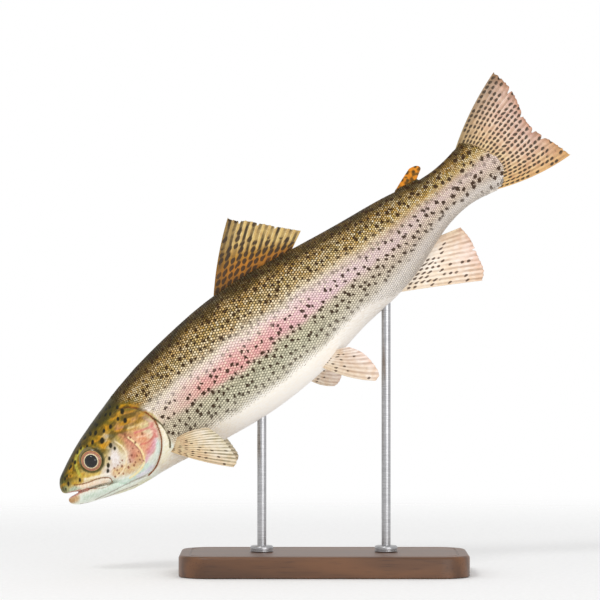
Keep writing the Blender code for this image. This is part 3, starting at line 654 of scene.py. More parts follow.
BLACK_DOTS = (
    (62.2, 16.5, 1.1), (57, 14.6, 0.8), (60.3, 10.9, 1), (50, 13.5, 0.9), (44.8, 13.8, 0.8),
    (40.1, 9.4, 1.2), (39.4, 16, 1), (36.1, 17.3, 0.8), (42.9, 19.7, 0.8), (54.6, 20.3, 0.8),
    (51.7, 21.8, 0.8), (47.1, 22.6, 0.7), (29.7, 12.4, 0.6), (31.7, 17.5, 0.8), (25.6, 13.7, 0.7),
    (16.9, 8.4, 0.8), (13.1, 7.9, 0.7), (7.2, 4.2, 0.6), (4.9, -0.5, 0.8), (1.3, -2.4, 0.5),
    (12.7, -2.9, 0.7), (56.8, 24.1, 0.8), (60.9, 21.1, 0.8), (54.1, 24.4, 0.6), (26.2, 16.1, 0.6),
    (34.3, 12.2, 0.9), (44, 0.4, 0.7), (42.9, 3.6, 1), (33.8, -6.1, 0.9), (31.4, -8.9, 0.8),
    (37.1, -2.8, 0.7))
BROWN_DOTS = (
    (35.9, -9.9, 0.5), (36.6, -12.1, 0.5), (36.4, -14.3, 0.5), (33, -14.7, 0.6), (43.2, -8.9, 0.5),
    (40.8, -11.8, 0.6), (38.6, -16.5, 0.5), (47, -12.8, 0.6), (50.2, -10, 0.6), (52.8, -11.9, 0.6),
    (47.5, -16.1, 0.6), (43.7, -15, 0.7), (52.9, -14.9, 0.6), (49.6, -14.8, 0.5), (53.5, -6.5, 0.5),
    (56.5, 0.2, 0.6), (64.4, -2.3, 0.7), (54.8, 3.8, 0.6), (57.2, -4.3, 0.6), (47.4, -11.4, 0.5),
    (38.9, -9.8, 0.4), (41.1, -9.1, 0.4), (55.2, -10.2, 0.4), (54.5, -16.6, 0.4))
DARK = "#1f1d10"
EYE_CRESCENT = ((14.6, -0.5), (15.8, 5.5), (19.8, 10.8), (26.4, 12.6))
HEAD_GROUND = ((0.0, "#eef0e2"), (0.15, "#dfe8dc"), (0.30, "#e0d6c4"), (0.45, "#d8c8a8"), (0.60, "#b59c58"),
               (0.72, "#7c6826"), (0.84, "#585014"), (0.94, "#383008"))
ADIPOSE_DOTS = ((294, 30.2, 1.0), (300, 31.8, 1.1), (305.5, 33.4, 1.0), (309.5, 31.2, 0.9), (303, 28.8, 0.9),
                (312.5, 33.4, 0.8))


def heights(points):
    """Each point's height as a share of the trout's depth there."""
    x, z = points[:, 0], points[:, 2]
    low = underside(x)
    return np.clip((z - low) / (back(x) - low), 0, 1)


def crown_dots(seed=11):
    """Scattered dark dots over the top of the head, as (x, girth, size)."""
    draw = np.random.default_rng(seed)
    return [(x + draw.uniform(-1.2, 1.2), girth + draw.uniform(-1.2, 1.2), draw.uniform(0.8, 1.25))
            for x in np.arange(6, 62, 5.2) for girth in np.arange(-9, 10, 5.0)]


def head_colours(points, normals):
    """Head colour and painted shade at each point, in sRGB shares: ground, strokes, patches, dots and the
    mouth.
    """
    x, z, side = points[:, 0], points[:, 2], points[:, [0, 2]]
    girth, height = GIRTH.at(points), heights(points)
    wavering = side + 0.45 * np.stack([ripple(points, 5, 1), ripple(points, 5, 2)], axis=1)
    stops, shades = zip(*HEAD_GROUND, strict=True)
    wandering = height + 0.03 * ripple(points, 9, 3)
    channels = np.array([srgb(shade) for shade in shades]).T
    paint = np.stack([np.interp(wandering, stops, channel) for channel in channels], axis=1)

    def lay(colour, mask):
        paint[:] = paint + (srgb(colour) - paint) * mask[:, None]

    near = np.flatnonzero(x < 92)
    mask = np.zeros(len(points))
    for name, (colour, width, strength, line) in STROKES.items():
        broad = width > 1.5
        soft = 0.75 if broad else 0.35
        off = distance((wavering if broad else side)[near], smooth_line(line))
        mask[near] = strength * fall_between(width / 2 * (1 - soft), width / 2 * (1 + soft), off)
        if broad:
            mask[near] *= 0.85 + 0.15 * ripple(points[near], 2.2, len(name))
        lay(colour, mask)

    upper = step_between(0.52, 0.66, height)
    lay("#bf861c", 0.75 * upper * fall_between(0.80, 0.92, height) * crests(points, 2.8, 21))
    lay("#453c16", 0.6 * upper * crests(points, 3.2, 22, more=0.1))
    lay("#342c0a", 0.6 * step_between(0.84, 0.96, height))
    lay("#b8b048", 0.8 * fall_between(0.4, 1.6, distance(side, smooth_line(EYE_CRESCENT))))
    lay("#3b3a1c", 0.85 * fall_between(7.6, 9.2, from_spot(side, EYE_PLACE)))
    for dots, colour, growth, strength in ((BLACK_DOTS, DARK, 1.5, 0.92), (BROWN_DOTS, "#7a4430", 1.2, 0.8)):
        for x_dot, z_dot, size in dots:
            place = np.array([[x_dot, -float(BODY.side(x_dot, z_dot)), z_dot]])
            off = np.hypot(x - x_dot, np.abs(girth) + GIRTH.at(place)[0])
            lay(colour, strength * fall_between(size * growth * 0.7, size * growth * 1.25, off))
    for x_dot, girth_dot, size in crown_dots():
        off = np.hypot(x - x_dot, girth - girth_dot)
        lay(DARK, 0.85 * fall_between(size * 0.7, size * 1.3, off) * (height > 0.8))
    between_lips = np.abs(z - (mouth_line(x) + jaw_top(x)) / 2) < 2.2
    lay("#d3a292", 0.85 * ((x < 14) & between_lips & (np.abs(normals[:, 2]) > 0.7)))
    return paint


def painted(points, normals):
    """The head's and the adipose fin's pigments, with the head's painted shade, at each point: linear colour,
    and how far it covers.
    """
    x, z, side = points[:, 0], points[:, 2], points[:, [0, 2]]
    ahead, behind = 0.8 + 2.7 * step_between(4, 12, z), 0.6 + 8.4 * step_between(8, 20, z)
    cover = fall_between(-ahead, behind, x - scales_start(z))
    on_adipose = step_between(0.3, 1.8, z - back(x)) * (x > 280) * (x < 322)
    dark = 0.7 * crests(points, 2.2, 8, strength=1.4)
    for x_dot, z_dot, size in ADIPOSE_DOTS:
        dark = np.maximum(dark, 0.9 * fall_between(size * 0.9, size * 1.7, from_spot(side, (x_dot, z_dot))))
    orange = srgb("#cf7f1c") + (srgb("#40300f") - srgb("#cf7f1c")) * dark[:, None]
    paint = head_colours(points, normals)
    paint += (orange - paint) * on_adipose[:, None]
    return np.concatenate([linear(paint), np.maximum(cover, on_adipose)[:, None]], axis=1)


# -------------------- skin

# Ridges and sunk folds along strokes of the head's paint, as name: (height, width).
FOLDS = {"first pale ridge": (0.28, 1.1), "second pale ridge": (0.34, 1.1), "first gill fold": (-0.35, 0.55),
         "second gill fold": (-0.32, 0.55), "third gill fold": (-0.25, 0.55), "red jaw edge": (-0.3, 0.55),
         "maxilla low line": (-0.4, 0.55), "maxilla top line": (-0.35, 0.55)}
NOSTRILS = ((11.2, 3.6, 0.75), (8.9, 2.9, 0.6))


def loft(form, stations, count):
    """Points and faces of a closed shell over a form's rings, pointed at the nose."""
    turns = np.arange(count) * 2 * math.pi / count
    rings = form.rings(stations, turns)
    points = [[[form.tip, 0, form.nose_height]], rings.reshape(-1, 3), [rings[-1].mean(axis=0)]]
    last = 1 + len(stations) * count
    faces = []
    for k in range(count):
        after = (k + 1) % count
        faces.append((0, 1 + after, 1 + k))
        faces.append((last, last - count + k, last - count + after))
        for first in range(1, last - count, count):
            faces.append((first + k, first + after, first + count + after, first + count + k))
    return np.concatenate(points), faces


def plate(fin, columns, rows, half_thickness):
    """Points and faces of a closed plate over a fin, with half_thickness(across, along) on either side."""
    across, along = (a.ravel() for a in np.meshgrid(np.linspace(0, 1, columns), np.linspace(0, 1, rows),
                                                    indexing="ij"))
    reach = along * fin.reach(across)
    middle = fin.point(across, reach)
    out = fin.normal(across, reach) * half_thickness(across, along)[:, None]
    points = np.concatenate([middle + out, middle - out])
    behind = columns * rows
    faces = []
    for c in range(columns - 1):
        for r in range(rows - 1):
            quad = (c * rows + r, (c + 1) * rows + r, (c + 1) * rows + r + 1, c * rows + r + 1)
            faces += [quad, tuple(k + behind for k in reversed(quad))]
    rim = [c * rows for c in range(columns)] + [(columns - 1) * rows + r for r in range(1, rows)]
    rim += [c * rows + rows - 1 for c in reversed(range(columns - 1))] + list(reversed(range(1, rows - 1)))
    for here, following in zip(rim, rim[1:] + rim[:1], strict=True):
        faces.append((here, here + behind, following + behind, following))
    return points, faces, across, reach


def joined(shells):
    points, faces, offset = [], [], 0
    for shell_points, shell_faces in shells:
        points.append(shell_points)
        faces += [tuple(k + offset for k in face) for face in shell_faces]
        offset += len(shell_points)
    return np.concatenate(points), faces


def stations(form, fine_step, step):
    nose = form.tip + NOSE_ROUNDING * (1 - np.cos(np.linspace(0.12, 1.0, 12) * math.pi / 2))
    head = np.arange(form.tip + NOSE_ROUNDING + fine_step, min(84, form.end), fine_step)
    body = np.arange(84, form.end, step) if form.end > 84 else np.array([])
    return np.concatenate([nose, head, body, [form.end]])


def one_skin(settings):
    """One closed surface round body, jaw and adipose fin, fine on the head and coarser under the scales."""
    body, faces = loft(BODY, stations(BODY, 0.8, 1.6), 144)
    body[:, 0] = np.minimum(body[:, 0], tail_end(body[:, 2]))
    body[:, 2] = np.clip(body[:, 2], belly(body[:, 0]), back(body[:, 0]))
    adipose = plate(FINS["adipose_fin"], 25, 14, lambda across, along: 1.35 - 0.6 * along)[:2]
    shells = [(body, faces), loft(JAW, stations(JAW, 0.8, 1.6), 96), adipose]
    shape = shown("trout_volume", mesh_from("trout_volume", *joined(shells)))
    face_out(shape.data)
    remesh = shape.modifiers.new("one_surface", "REMESH")
    remesh.mode, remesh.voxel_size = "VOXEL", settings.voxel
    even = shape.modifiers.new("even", "SMOOTH")
    even.factor, even.iterations = 0.5, 6
    shape = shown("trout_fine", applied(shape))
    points = rows_of_three(shape.data.vertices, "co")
    group = shape.vertex_groups.new(name="trunk")
    trunk = np.flatnonzero((points[:, 0] > 86) & (points[:, 2] < back(points[:, 0]) + 0.3))
    group.add(trunk.tolist(), 1.0, "REPLACE")
    fewer = shape.modifiers.new("fewer", "DECIMATE")
    fewer.vertex_group = "trunk"
    fewer.ratio = settings.faces / (2 * len(shape.data.polygons))
    return applied(shape)


def relieved(points, normals, depth):
    """The skin's points raised and sunk along their normals: plates, folds, eye sockets and nostrils."""
    x, side = points[:, 0], points[:, [0, 2]]
    rise = np.zeros(len(points))
    head = np.flatnonzero(x < 90)
    places = side[head]
    gill = depth_inside(places, GILL_COVER)
    opening = distance(places, smooth_line(STROKES["gill opening"][3]))
    back_edge = step_between(2, 14, distance(places, smooth_line(GILL_FRONT)))
    local = 0.85 * step_between(-0.25, 0.35, gill) * back_edge
    local -= 0.75 * bell(opening, 1.0) * (gill < 0.1)
    local += 0.9 * step_between(-0.15, 0.5, depth_inside(places, MAXILLA))
    for name, (height, width) in FOLDS.items():
        local += height * bell(distance(places, smooth_line(STROKES[name][3])), width)
    local *= step_between(0.25, 0.6, np.abs(normals[head, 1]))
    from_eye = from_spot(places, EYE_PLACE)
    local += 0.5 * bell(from_eye - 7.7, 0.75) - 0.25 * bell(from_eye - 9.6, 0.9)
    local -= 1.6 * fall_between(6.2, EYE_RIM, from_eye)
    for *pit, size in NOSTRILS:
        off = from_spot(places, pit)
        local += 0.3 * bell(off - size * 1.5, 0.5) - 0.9 * bell(off, size)
    local += 0.06 * ripple(points[head], 6, 5)
    rise[head] = local
    rise -= depth * step_between(-1.0, 4.0, x - scales_start(points[:, 2]))
    moved = points + normals * rise[:, None]
    thin = 0.75 / np.maximum(np.abs(moved[:, 1]), 0.75)
    near_end = step_between(0, 14, tail_end(moved[:, 2]) - moved[:, 0])
    moved[:, 1] *= np.where(moved[:, 0] > 325, thin + (1 - thin) * near_end, 1)
    return moved


LENGTH = {"unit": "LENGTH", "subtype": "DISTANCE"}
COLOUR = {"subtype": "COLOR", "size": 4, "min": 0, "max": 1}


class TroutSkinSettings(bpy.types.PropertyGroup):
    voxel: FloatProperty(name="Surface grain", description="Size of the surface's cells, in millimetres",
                         default=0.5, min=0.3, max=2.0)
    faces: IntProperty(name="Triangles", description="How many triangles the skin has", default=192000)
    edge_colour: FloatVectorProperty(name="Scale edges", description="Pigment round each scale",
                                     default=linear("#33230a"), **COLOUR)
    spot_colour: FloatVectorProperty(name="Spots", description="Pigment of the spots",
                                     default=linear("#3a2108"), **COLOUR)
    spot_spacing: FloatProperty(name="Spot spacing", description="How far apart the spots are",
                                default=0.0052, **LENGTH)
    spot_scatter: FloatProperty(name="Spot scatter", description="How far the spots stray from even rows",
                                subtype="FACTOR", default=0.72, min=0, max=1)
    spot_size: FloatProperty(name="Spot size", description="A large spot's radius, as a share of the spacing",
                             subtype="FACTOR", default=0.25, min=0, max=1)


class TROUT_OT_skin(bpy.types.Operator):
    """One skin over head, jaws, gill covers, trunk and tail stalk"""

    bl_idname = "trout.make_skin"
    bl_label = "Make Skin"

    def execute(self, context):
        settings = context.scene.trout_skin
        mesh = one_skin(settings)
        points, normals = rows_of_three(mesh.vertices, "co"), rows_of_three(mesh.vertex_normals, "vector")
        points = relieved(points, normals, context.scene.trout_scales.lift * 0.9 / MM)
        mesh.vertices.foreach_set("co", points.astype(np.float32).ravel())
        mesh.update()
        place = np.stack([points[:, 0] * MM, GIRTH.at(points) * MM, heights(points)], axis=1)
        set_attribute(mesh, "place", "FLOAT_VECTOR", place)
        normals = rows_of_three(mesh.vertex_normals, "vector")
        set_attribute(mesh, "paint", "FLOAT_COLOR", painted(points, normals))
        mesh.transform(pose())
        mesh.shade_smooth()
        skin = shown("trout_skin", mesh)
        markings = markings_group(settings)
        flesh = [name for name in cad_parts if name.split("_")[0] in
                 ("head", "lower", "maxilla", "gill", "trunk", "adipose") or name == "tail_stalk"]
        finished(skin, flesh, skin_material(markings))
        return {"FINISHED"}


# -------------------- scales

SCALE_RIM = ((-0.5, 0.0), (-0.3, 0.45), (0.35, 0.68), (1.0, 0.62), (1.42, 0.36), (1.58, 0.0))
SCALE_RIDGE = ((0.1, 0.10), (0.95, 0.30))
SCALE_LENGTH = 2.08
ROOT_DEPTH = 0.10  # how deep a scale's root is in the skin
FIRST_ROW, LAST_ROW = 56.0, 362.0
DEEPEST_GIRTH = 112.0
BARE_BELLY = 0.14  # the smooth share of the depth between the pectoral and the pelvic fins
STAND_ENDS = ("front", "rear")


def scale_shape(lift):
    """One scale, its root at the origin and its free end towards +X, in units of the scales' pitch."""
    rim = [*SCALE_RIM, *[(x, -y) for x, y in reversed(SCALE_RIM[1:-1])]]

    def height(x, y):
        return -ROOT_DEPTH + (lift + ROOT_DEPTH) * (x - SCALE_RIM[0][0]) / SCALE_LENGTH - 0.10 * abs(y)

    points = [(x, y, height(x, y)) for x, y in rim]
    points += [(x, 0, height(x, 0) + rise * 0.35) for x, rise in SCALE_RIDGE]
    first, second = len(rim), len(rim) + 1
    faces = [tuple(reversed(range(len(rim))))]
    for k, (x, _) in enumerate(rim):
        after = (k + 1) % len(rim)
        ridge = [first if place < 0.6 else second for place in (rim[after][0], x)]
        faces.append((k, after, *dict.fromkeys(ridge)))
    mesh = mesh_from("one_scale", points, faces)
    face_out(mesh)
    set_attribute(mesh, "blade", "FLOAT_VECTOR", np.array(points))
    mesh.shade_smooth()
    return mesh


def scales_tree():
    """Geometry nodes that set a scale on every point, turn and size it a little at random, and unwrap it."""
    tree, given = new_group("lay_scales", "GeometryNodeTree", {
        "Geometry": "Geometry", "Scale": "Object", "Turn": "Float", "Growth": "Float", "Patch": "Float",
        "Seed": "Int", "Material": "Material"}, "Geometry")
    turn = add(tree, EULER, [add(tree, STORED_VECTOR, {"Name": "turn"})])
    low_turn = add(tree, MULTIPLY, [given["Turn"], -1.0])
    lot = add(tree, RANDOM, {"Seed": given["Seed"]})
    angle = add(tree, RANGE, [lot, 0.0, 1.0, low_turn, given["Turn"]])
    swing = add(tree, EULER, [add(tree, JOIN, {"Z": angle})])
    swung = add(tree, "FunctionNodeRotateRotation", [turn, swing], rotation_space="LOCAL")
    second_lot = add(tree, RANDOM, {"Seed": add(tree, ADD, [given["Seed"], 1.0])})
    small, large = (add(tree, kind, [1.0, given["Growth"]]) for kind in (SUBTRACT, ADD))
    grown = add(tree, RANGE, [second_lot, 0.0, 1.0, small, large])
    size = add(tree, MULTIPLY, [add(tree, STORED_NUMBER, {"Name": "pitch"}), grown])
    raised = add(tree, MULTIPLY, [size, add(tree, STORED_NUMBER, {"Name": "raised"})])
    scale = add(tree, "GeometryNodeObjectInfo", {"Object": given["Scale"]}).outputs["Geometry"]
    laid = add(tree, "GeometryNodeInstanceOnPoints", {
        "Points": given["Geometry"], "Instance": scale, "Rotation": swung,
        "Scale": add(tree, JOIN, [size, size, raised])})
    realized = add(tree, REALIZE, [laid])

    local = add(tree, VECTOR, [add(tree, STORED_VECTOR, {"Name": "blade"}), (0.5, 0.68, 0)], operation="ADD")
    patch = add(tree, DIVIDE, [given["Patch"], SCALE_LENGTH])
    within = add(tree, VECTOR, {"Vector": local, "Scale": patch}, operation="SCALE")
    unwrapped = add(tree, VECTOR, [add(tree, STORED_VECTOR, {"Name": "unwrap"}), within], operation="ADD")
    mapped = add(tree, "GeometryNodeStoreNamedAttribute", {
        "Geometry": realized, "Name": "OFBake", "Value": unwrapped}, data_type="FLOAT2", domain="CORNER")
    dressed = add(tree, DRESS, {"Geometry": mapped, "Material": given["Material"]})
    add(tree, "NodeGroupOutput", {"Geometry": dressed})
    return tree


def run_tree(name, carrier, tree, **inputs):
    """The carrier's mesh through a geometry node tree, with the tree's inputs by name."""
    step = carrier.modifiers.new(name, "NODES")
    step.node_group = tree
    for item in tree.interface.items_tree:
        if item.in_out == "INPUT" and item.name in inputs:
            step[item.identifier] = inputs[item.name]
    mesh = applied(carrier)
    mesh.name = name
    return mesh


def scale_rows(pitch):
    """Where the scales are rooted, in rows across the trout: x, y, z, girth, size and how far raised."""
    turns = np.linspace(math.pi / 2, -math.pi / 2, 241)
    rows, x, row = [], FIRST_ROW, 0
    while x < LAST_ROW:
        ring = BODY.rings([x], turns)[0]
        low, high = ring[:, 2].min(), ring[:, 2].max()
        lengths = np.concatenate([[0], np.cumsum(np.linalg.norm(np.diff(ring, axis=0), axis=1))])
        size = pitch * (lengths[-1] / DEEPEST_GIRTH) ** 0.42 * (0.84 + 0.16 * float(step_between(80, 130, x)))
        bare = BARE_BELLY * float(step_between(86, 104, x) * fall_between(225, 262, x))
        for girth in np.arange((0.5 if row % 2 else 0.0) * size, lengths[-1], size * 1.06):
            point = [np.interp(girth, lengths, ring[:, axis]) for axis in range(3)]
            share = (point[2] - low) / (high - low)
            if share < bare:
                continue
            raised = 0.12 + 0.88 * float(step_between(0.12, 0.28, share))
            small = 0.62 + 0.38 * float(step_between(bare, bare + 0.07, share))
            rows += [(*point, side * girth, size * small, raised) for side in (LEFT, RIGHT)
                     if side == LEFT or girth > 0]
        x += size * 0.96
        row += 1
    rows = np.array(rows)
    rows[:, 1] *= np.where(rows[:, 3] < 0, LEFT, RIGHT)
    x, y, z = rows[:, :3].T
    keep = (x > scales_start(z)) & (tail_end(z) - x > np.where(np.abs(y) < 1.2, 9, 1.6))
    world_x = SNOUT_X / MM + x * math.cos(DIVE_ANGLE) - z * math.sin(DIVE_ANGLE)
    for word in STAND_ENDS:
        low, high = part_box(f"stand_rod_{word}")
        keep &= (np.hypot(world_x - (low.x + high.x) / 2 / MM, y) > 3.6) | (z > 0)
    return rows[keep]


def tailwards(x, y, z):
    """The way that the body's surface runs towards the tail, past a point on it."""
    wider = BODY.rings([x + 2], np.array([0.0]))[0, 0, 1] - float(half_width(x))
    rise = float(back(x + 2) - back(x)) if z > 0 else float(belly(x) - belly(x + 2))
    middle = widest_height(x)
    slope_z = (z - middle) * rise / 40 + float(widest_height(x + 2) - middle)
    return Vector((2, math.copysign(1, y) * wider * abs(y) / half_width(x), slope_z))


class TroutScaleSettings(bpy.types.PropertyGroup):
    pitch: FloatProperty(name="Pitch", description="Distance from scale to scale on the trunk",
                         default=0.00185, **LENGTH)
    lift: FloatProperty(name="Lift", description="How high a scale's free end stands off the skin",
                        default=0.00026, **LENGTH)
    turn: FloatProperty(name="Turn", description="How far a scale may be turned at random", unit="ROTATION",
                        subtype="ANGLE", default=math.radians(4))
    growth: FloatProperty(name="Growth", description="How far a scale's size may vary", subtype="FACTOR",
                          default=0.05, min=0, max=0.5)
    seed: IntProperty(name="Seed", description="Seed of the scales' random turns and sizes", default=3)


class TROUT_OT_scales(bpy.types.Operator):
    """Rows of overlapping scales over trunk and tail stalk, one mesh for each side"""

    bl_idname = "trout.make_scales"
    bl_label = "Make Scales"

    def execute(self, context):
        settings = context.scene.trout_scales
        skin = bpy.data.objects["trout_skin"].data
        surface = BVHTree.FromPolygons([v.co for v in skin.vertices], [p.vertices for p in skin.polygons])
        to_world = pose()
        turned = to_world.to_3x3().normalized()
        rows = scale_rows(settings.pitch / MM)
        places, turns = [], []
        for x, y, z in rows[:, :3]:
            place, normal, _, _ = surface.find_nearest(to_world @ Vector((x, y, z)))
            forward = turned @ tailwards(x, y, z)
            forward = (forward - normal * forward.dot(normal)).normalized()
            places.append(place)
            turns.append(Matrix((forward, normal.cross(forward), normal)).transposed().to_euler())
        material = scale_material(bpy.data.node_groups["trout_markings"])
        shape = shown("one_scale", scale_shape(settings.lift / settings.pitch))
        shape.data.materials.append(material)
        tree, places = scales_tree(), np.array(places)
        x, girth = rows[:, 0], rows[:, 3]
        place = np.stack([x * MM, girth * MM, heights(rows[:, :3])], axis=1)
        unwrap = np.stack([x / TROUT_LENGTH, 0.5 + girth / (2 * HALF_GIRTH), 0 * x], axis=1)
        paint = painted(rows[:, :3], np.zeros((len(rows), 3)))
        fields = {"turn": ("FLOAT_VECTOR", np.array(turns)), "pitch": ("FLOAT", rows[:, 4] * MM),
                  "raised": ("FLOAT", rows[:, 5]), "place": ("FLOAT_VECTOR", place),
                  "paint": ("FLOAT_COLOR", paint), "unwrap": ("FLOAT_VECTOR", unwrap)}
        for word, chosen in (("left", girth <= 0), ("right", girth > 0)):
            mesh = mesh_from("scale_roots", places[chosen], [])
            for field, (kind, values) in fields.items():
                set_attribute(mesh, field, kind, values[chosen])
            name = f"trout_scales_{word}"
            scales = run_tree(name, shown(name, mesh), tree, Scale=shape, Turn=settings.turn,
                              Growth=settings.growth, Patch=0.003, Seed=settings.seed, Material=material)
            finished(shown(name, scales))
        bpy.data.objects.remove(shape)
        return {"FINISHED"}


# -------------------- fins

FORK, TWIG = 0.42, 0.72  # where a ray forks, and where its branches do


class Fin:
    """A fin: rays fan out from a line inside the body to the margin. Points are given first ray first."""

    def __init__(self, base, margin, rays, bow_first=(0, 0, 0), bow_last=(0, 0, 0), wave=0.0, thick=0.5,
                 splits=()):
        self.base, self.margin = path(base), path(margin)
        self.rays, self.wave, self.thick, self.splits = rays, wave, thick, splits
        self.bow_first, self.bow_last = np.array(bow_first, float), np.array(bow_last, float)

    def point(self, across, along):
        """Across runs from the first ray to the last, and along from the base to the margin."""
        across, along = np.asarray(across, float), np.asarray(along, float)
        u, t = across[:, None], along[:, None]
        bow = self.bow_first * (1 - u) + self.bow_last * u
        point = self.base(across) * (1 - t) + self.margin(across) * t + bow * 4 * t * (1 - t)
        point[:, 1] += self.wave * along * np.sin(2 * math.pi * across)
        return point

    def normal(self, across, along, step=0.02):
        a, b = np.maximum(0.0, across - step), np.minimum(1.0, across + step)
        c, d = np.maximum(0.0, along - step), np.minimum(1.0, along + step)
        turned = np.cross(self.point(b, along) - self.point(a, along),
                          self.point(across, d) - self.point(across, c))
        return turned / np.linalg.norm(turned, axis=1)[:, None]

    def reach(self, across):
        """How far towards the margin the membrane reaches: less between rays and where it is split."""
        between = np.abs(np.sin(math.pi * self.rays * across))
        frayed = 0.006 * np.sin(47 * across + 1.3) * np.sin(113 * across)
        notched = sum(0.055 * bell(across - split, 0.012) for split in self.splits)
        return 1 - 0.008 * between - np.abs(frayed) - notched

    def fields(self, across, along):
        """Ray number, share from base to margin, and metres from the base, for the fin's colours."""
        length = np.linalg.norm(self.margin(across) - self.base(across), axis=1)
        return np.stack([across * self.rays, along, along * length * MM], axis=1)

    def lines(self):
        """The rays as (across, along, thickness) lines: a stem that forks twice, or a whole spine."""
        for k in range(self.rays + 1):
            middle = k / self.rays
            if k in (0, self.rays):
                along = np.linspace(0, 0.985, 30)
                yield np.full(30, middle), along, self.thick * (1 - 0.72 * along)
                continue
            along = np.linspace(0, FORK, 14)
            yield np.full(14, middle), along, self.thick * (0.85 - 0.55 * along)
            for a in (-1, 1):
                along = np.linspace(FORK, TWIG, 9)
                spread = a * 0.25 / self.rays
                across = middle + spread * step_between(FORK, 1.05, along)
                yield across, along, self.thick * (0.60 - 0.35 * (along - FORK))
                for b in (-1, 1):
                    along = np.linspace(TWIG, 1.0, 9)
                    across = middle + spread * step_between(FORK, 1.05, along)
                    across = across + b * 0.11 / self.rays * step_between(TWIG, 1.0, along)
                    end = self.reach(across[-1:])[0] + 0.003
                    yield across, along * end, self.thick * (0.38 - 0.6 * (along - TWIG))


FINS = {
    "dorsal_fin": Fin(((151, 0, 38), (180, 0, 37), (208, 0, 34)),
                      ((192.9, 0, 79.2), (195.6, 0, 75.2), (199, 0, 72.6), (207, 0, 64.8), (217, 0, 53.8),
                       (226.6, 0, 43.8)),
                      rays=12, bow_first=(-1.2, 0, 1.4), wave=1.2, thick=0.75, splits=(0.17, 0.42, 0.66)),
    "tail_fin": Fin(((336, 0, 23), (347, 0, 13), (349, 0, 2), (338, 0, -6.5)),
                    ((391.3, 0, 53), (394, 0, 40), (392.4, 0, 27), (389.6, 0, 14), (391.5, 0, 3),
                     (396, 0, -8.5), (400, 0, -20.8)),
                    rays=22, bow_first=(-1.8, 0, 1.9), bow_last=(0, 0, -3.4), wave=1.6, thick=0.85,
                    splits=(0.21, 0.45, 0.62, 0.72)),
    "anal_fin": Fin(((254, 0, -26.5), (277, 0, -19), (297, 0, -13)),
                    ((304, 0, -53.6), (308, 0, -50), (311, 0, -40), (313.8, 0, -27), (313.0, 0, -16.8)),
                    rays=12, bow_first=(0.3, 0, 0.2), wave=-1.0, thick=0.65, splits=(0.55,)),
    "adipose_fin": Fin(((288, 0, 26.5), (297, 0, 25), (305, 0, 23.6)),
                       ((308.5, 0, 34.9), (312.5, 0, 34.2), (315, 0, 32.4), (315.2, 0, 30.4), (313, 0, 28.6)),
                       rays=1, bow_first=(0.3, 0, 0.4)),
}


def paired(name, base, margin, rays, bow_first, bow_last, thick):
    """A paired fin on the left side, and its mirror image on the right."""
    for side, word in ((LEFT, "left"), (RIGHT, "right")):
        turned = [[(x, side * y, z) for x, y, z in points]
                  for points in (base, margin, [bow_first], [bow_last])]
        FINS[f"{name}_{word}"] = Fin(turned[0], turned[1], rays, turned[2][0], turned[3][0], thick=thick)


paired("pectoral_fin", ((72, 15.5, -22.5), (76.5, 16, -18.5)),
       ((100.2, 31, -55.2), (103.6, 31.4, -54), (105.4, 31, -47), (105, 29, -35), (102, 26, -25)),
       rays=13, bow_first=(-0.6, 1, -1), bow_last=(0, 2, 2.4), thick=0.6)
paired("pelvic_fin", ((184, 6.5, -35.5), (198, 8, -33)),
       ((208, 24, -64.6), (211.6, 24.2, -63.4), (213.4, 23.4, -57), (211.4, 20, -43.6), (206.7, 16, -36.4)),
       rays=9, bow_first=(-1, 1, -2), bow_last=(0, 1, 0), thick=0.6)

# The right pelvic fin is held forwards and further out.
FINS["pelvic_fin_right"] = Fin(((172, 6.5, -36.5), (188, 8, -34)),
                               ((184, 31, -53), (187, 32, -52.8), (192, 32.5, -50), (197, 30, -45),
                                (199, 25, -40.5)),
                               rays=9, bow_first=(-1.2, 1, -1.4), bow_last=(0, 1, 0), thick=0.6)

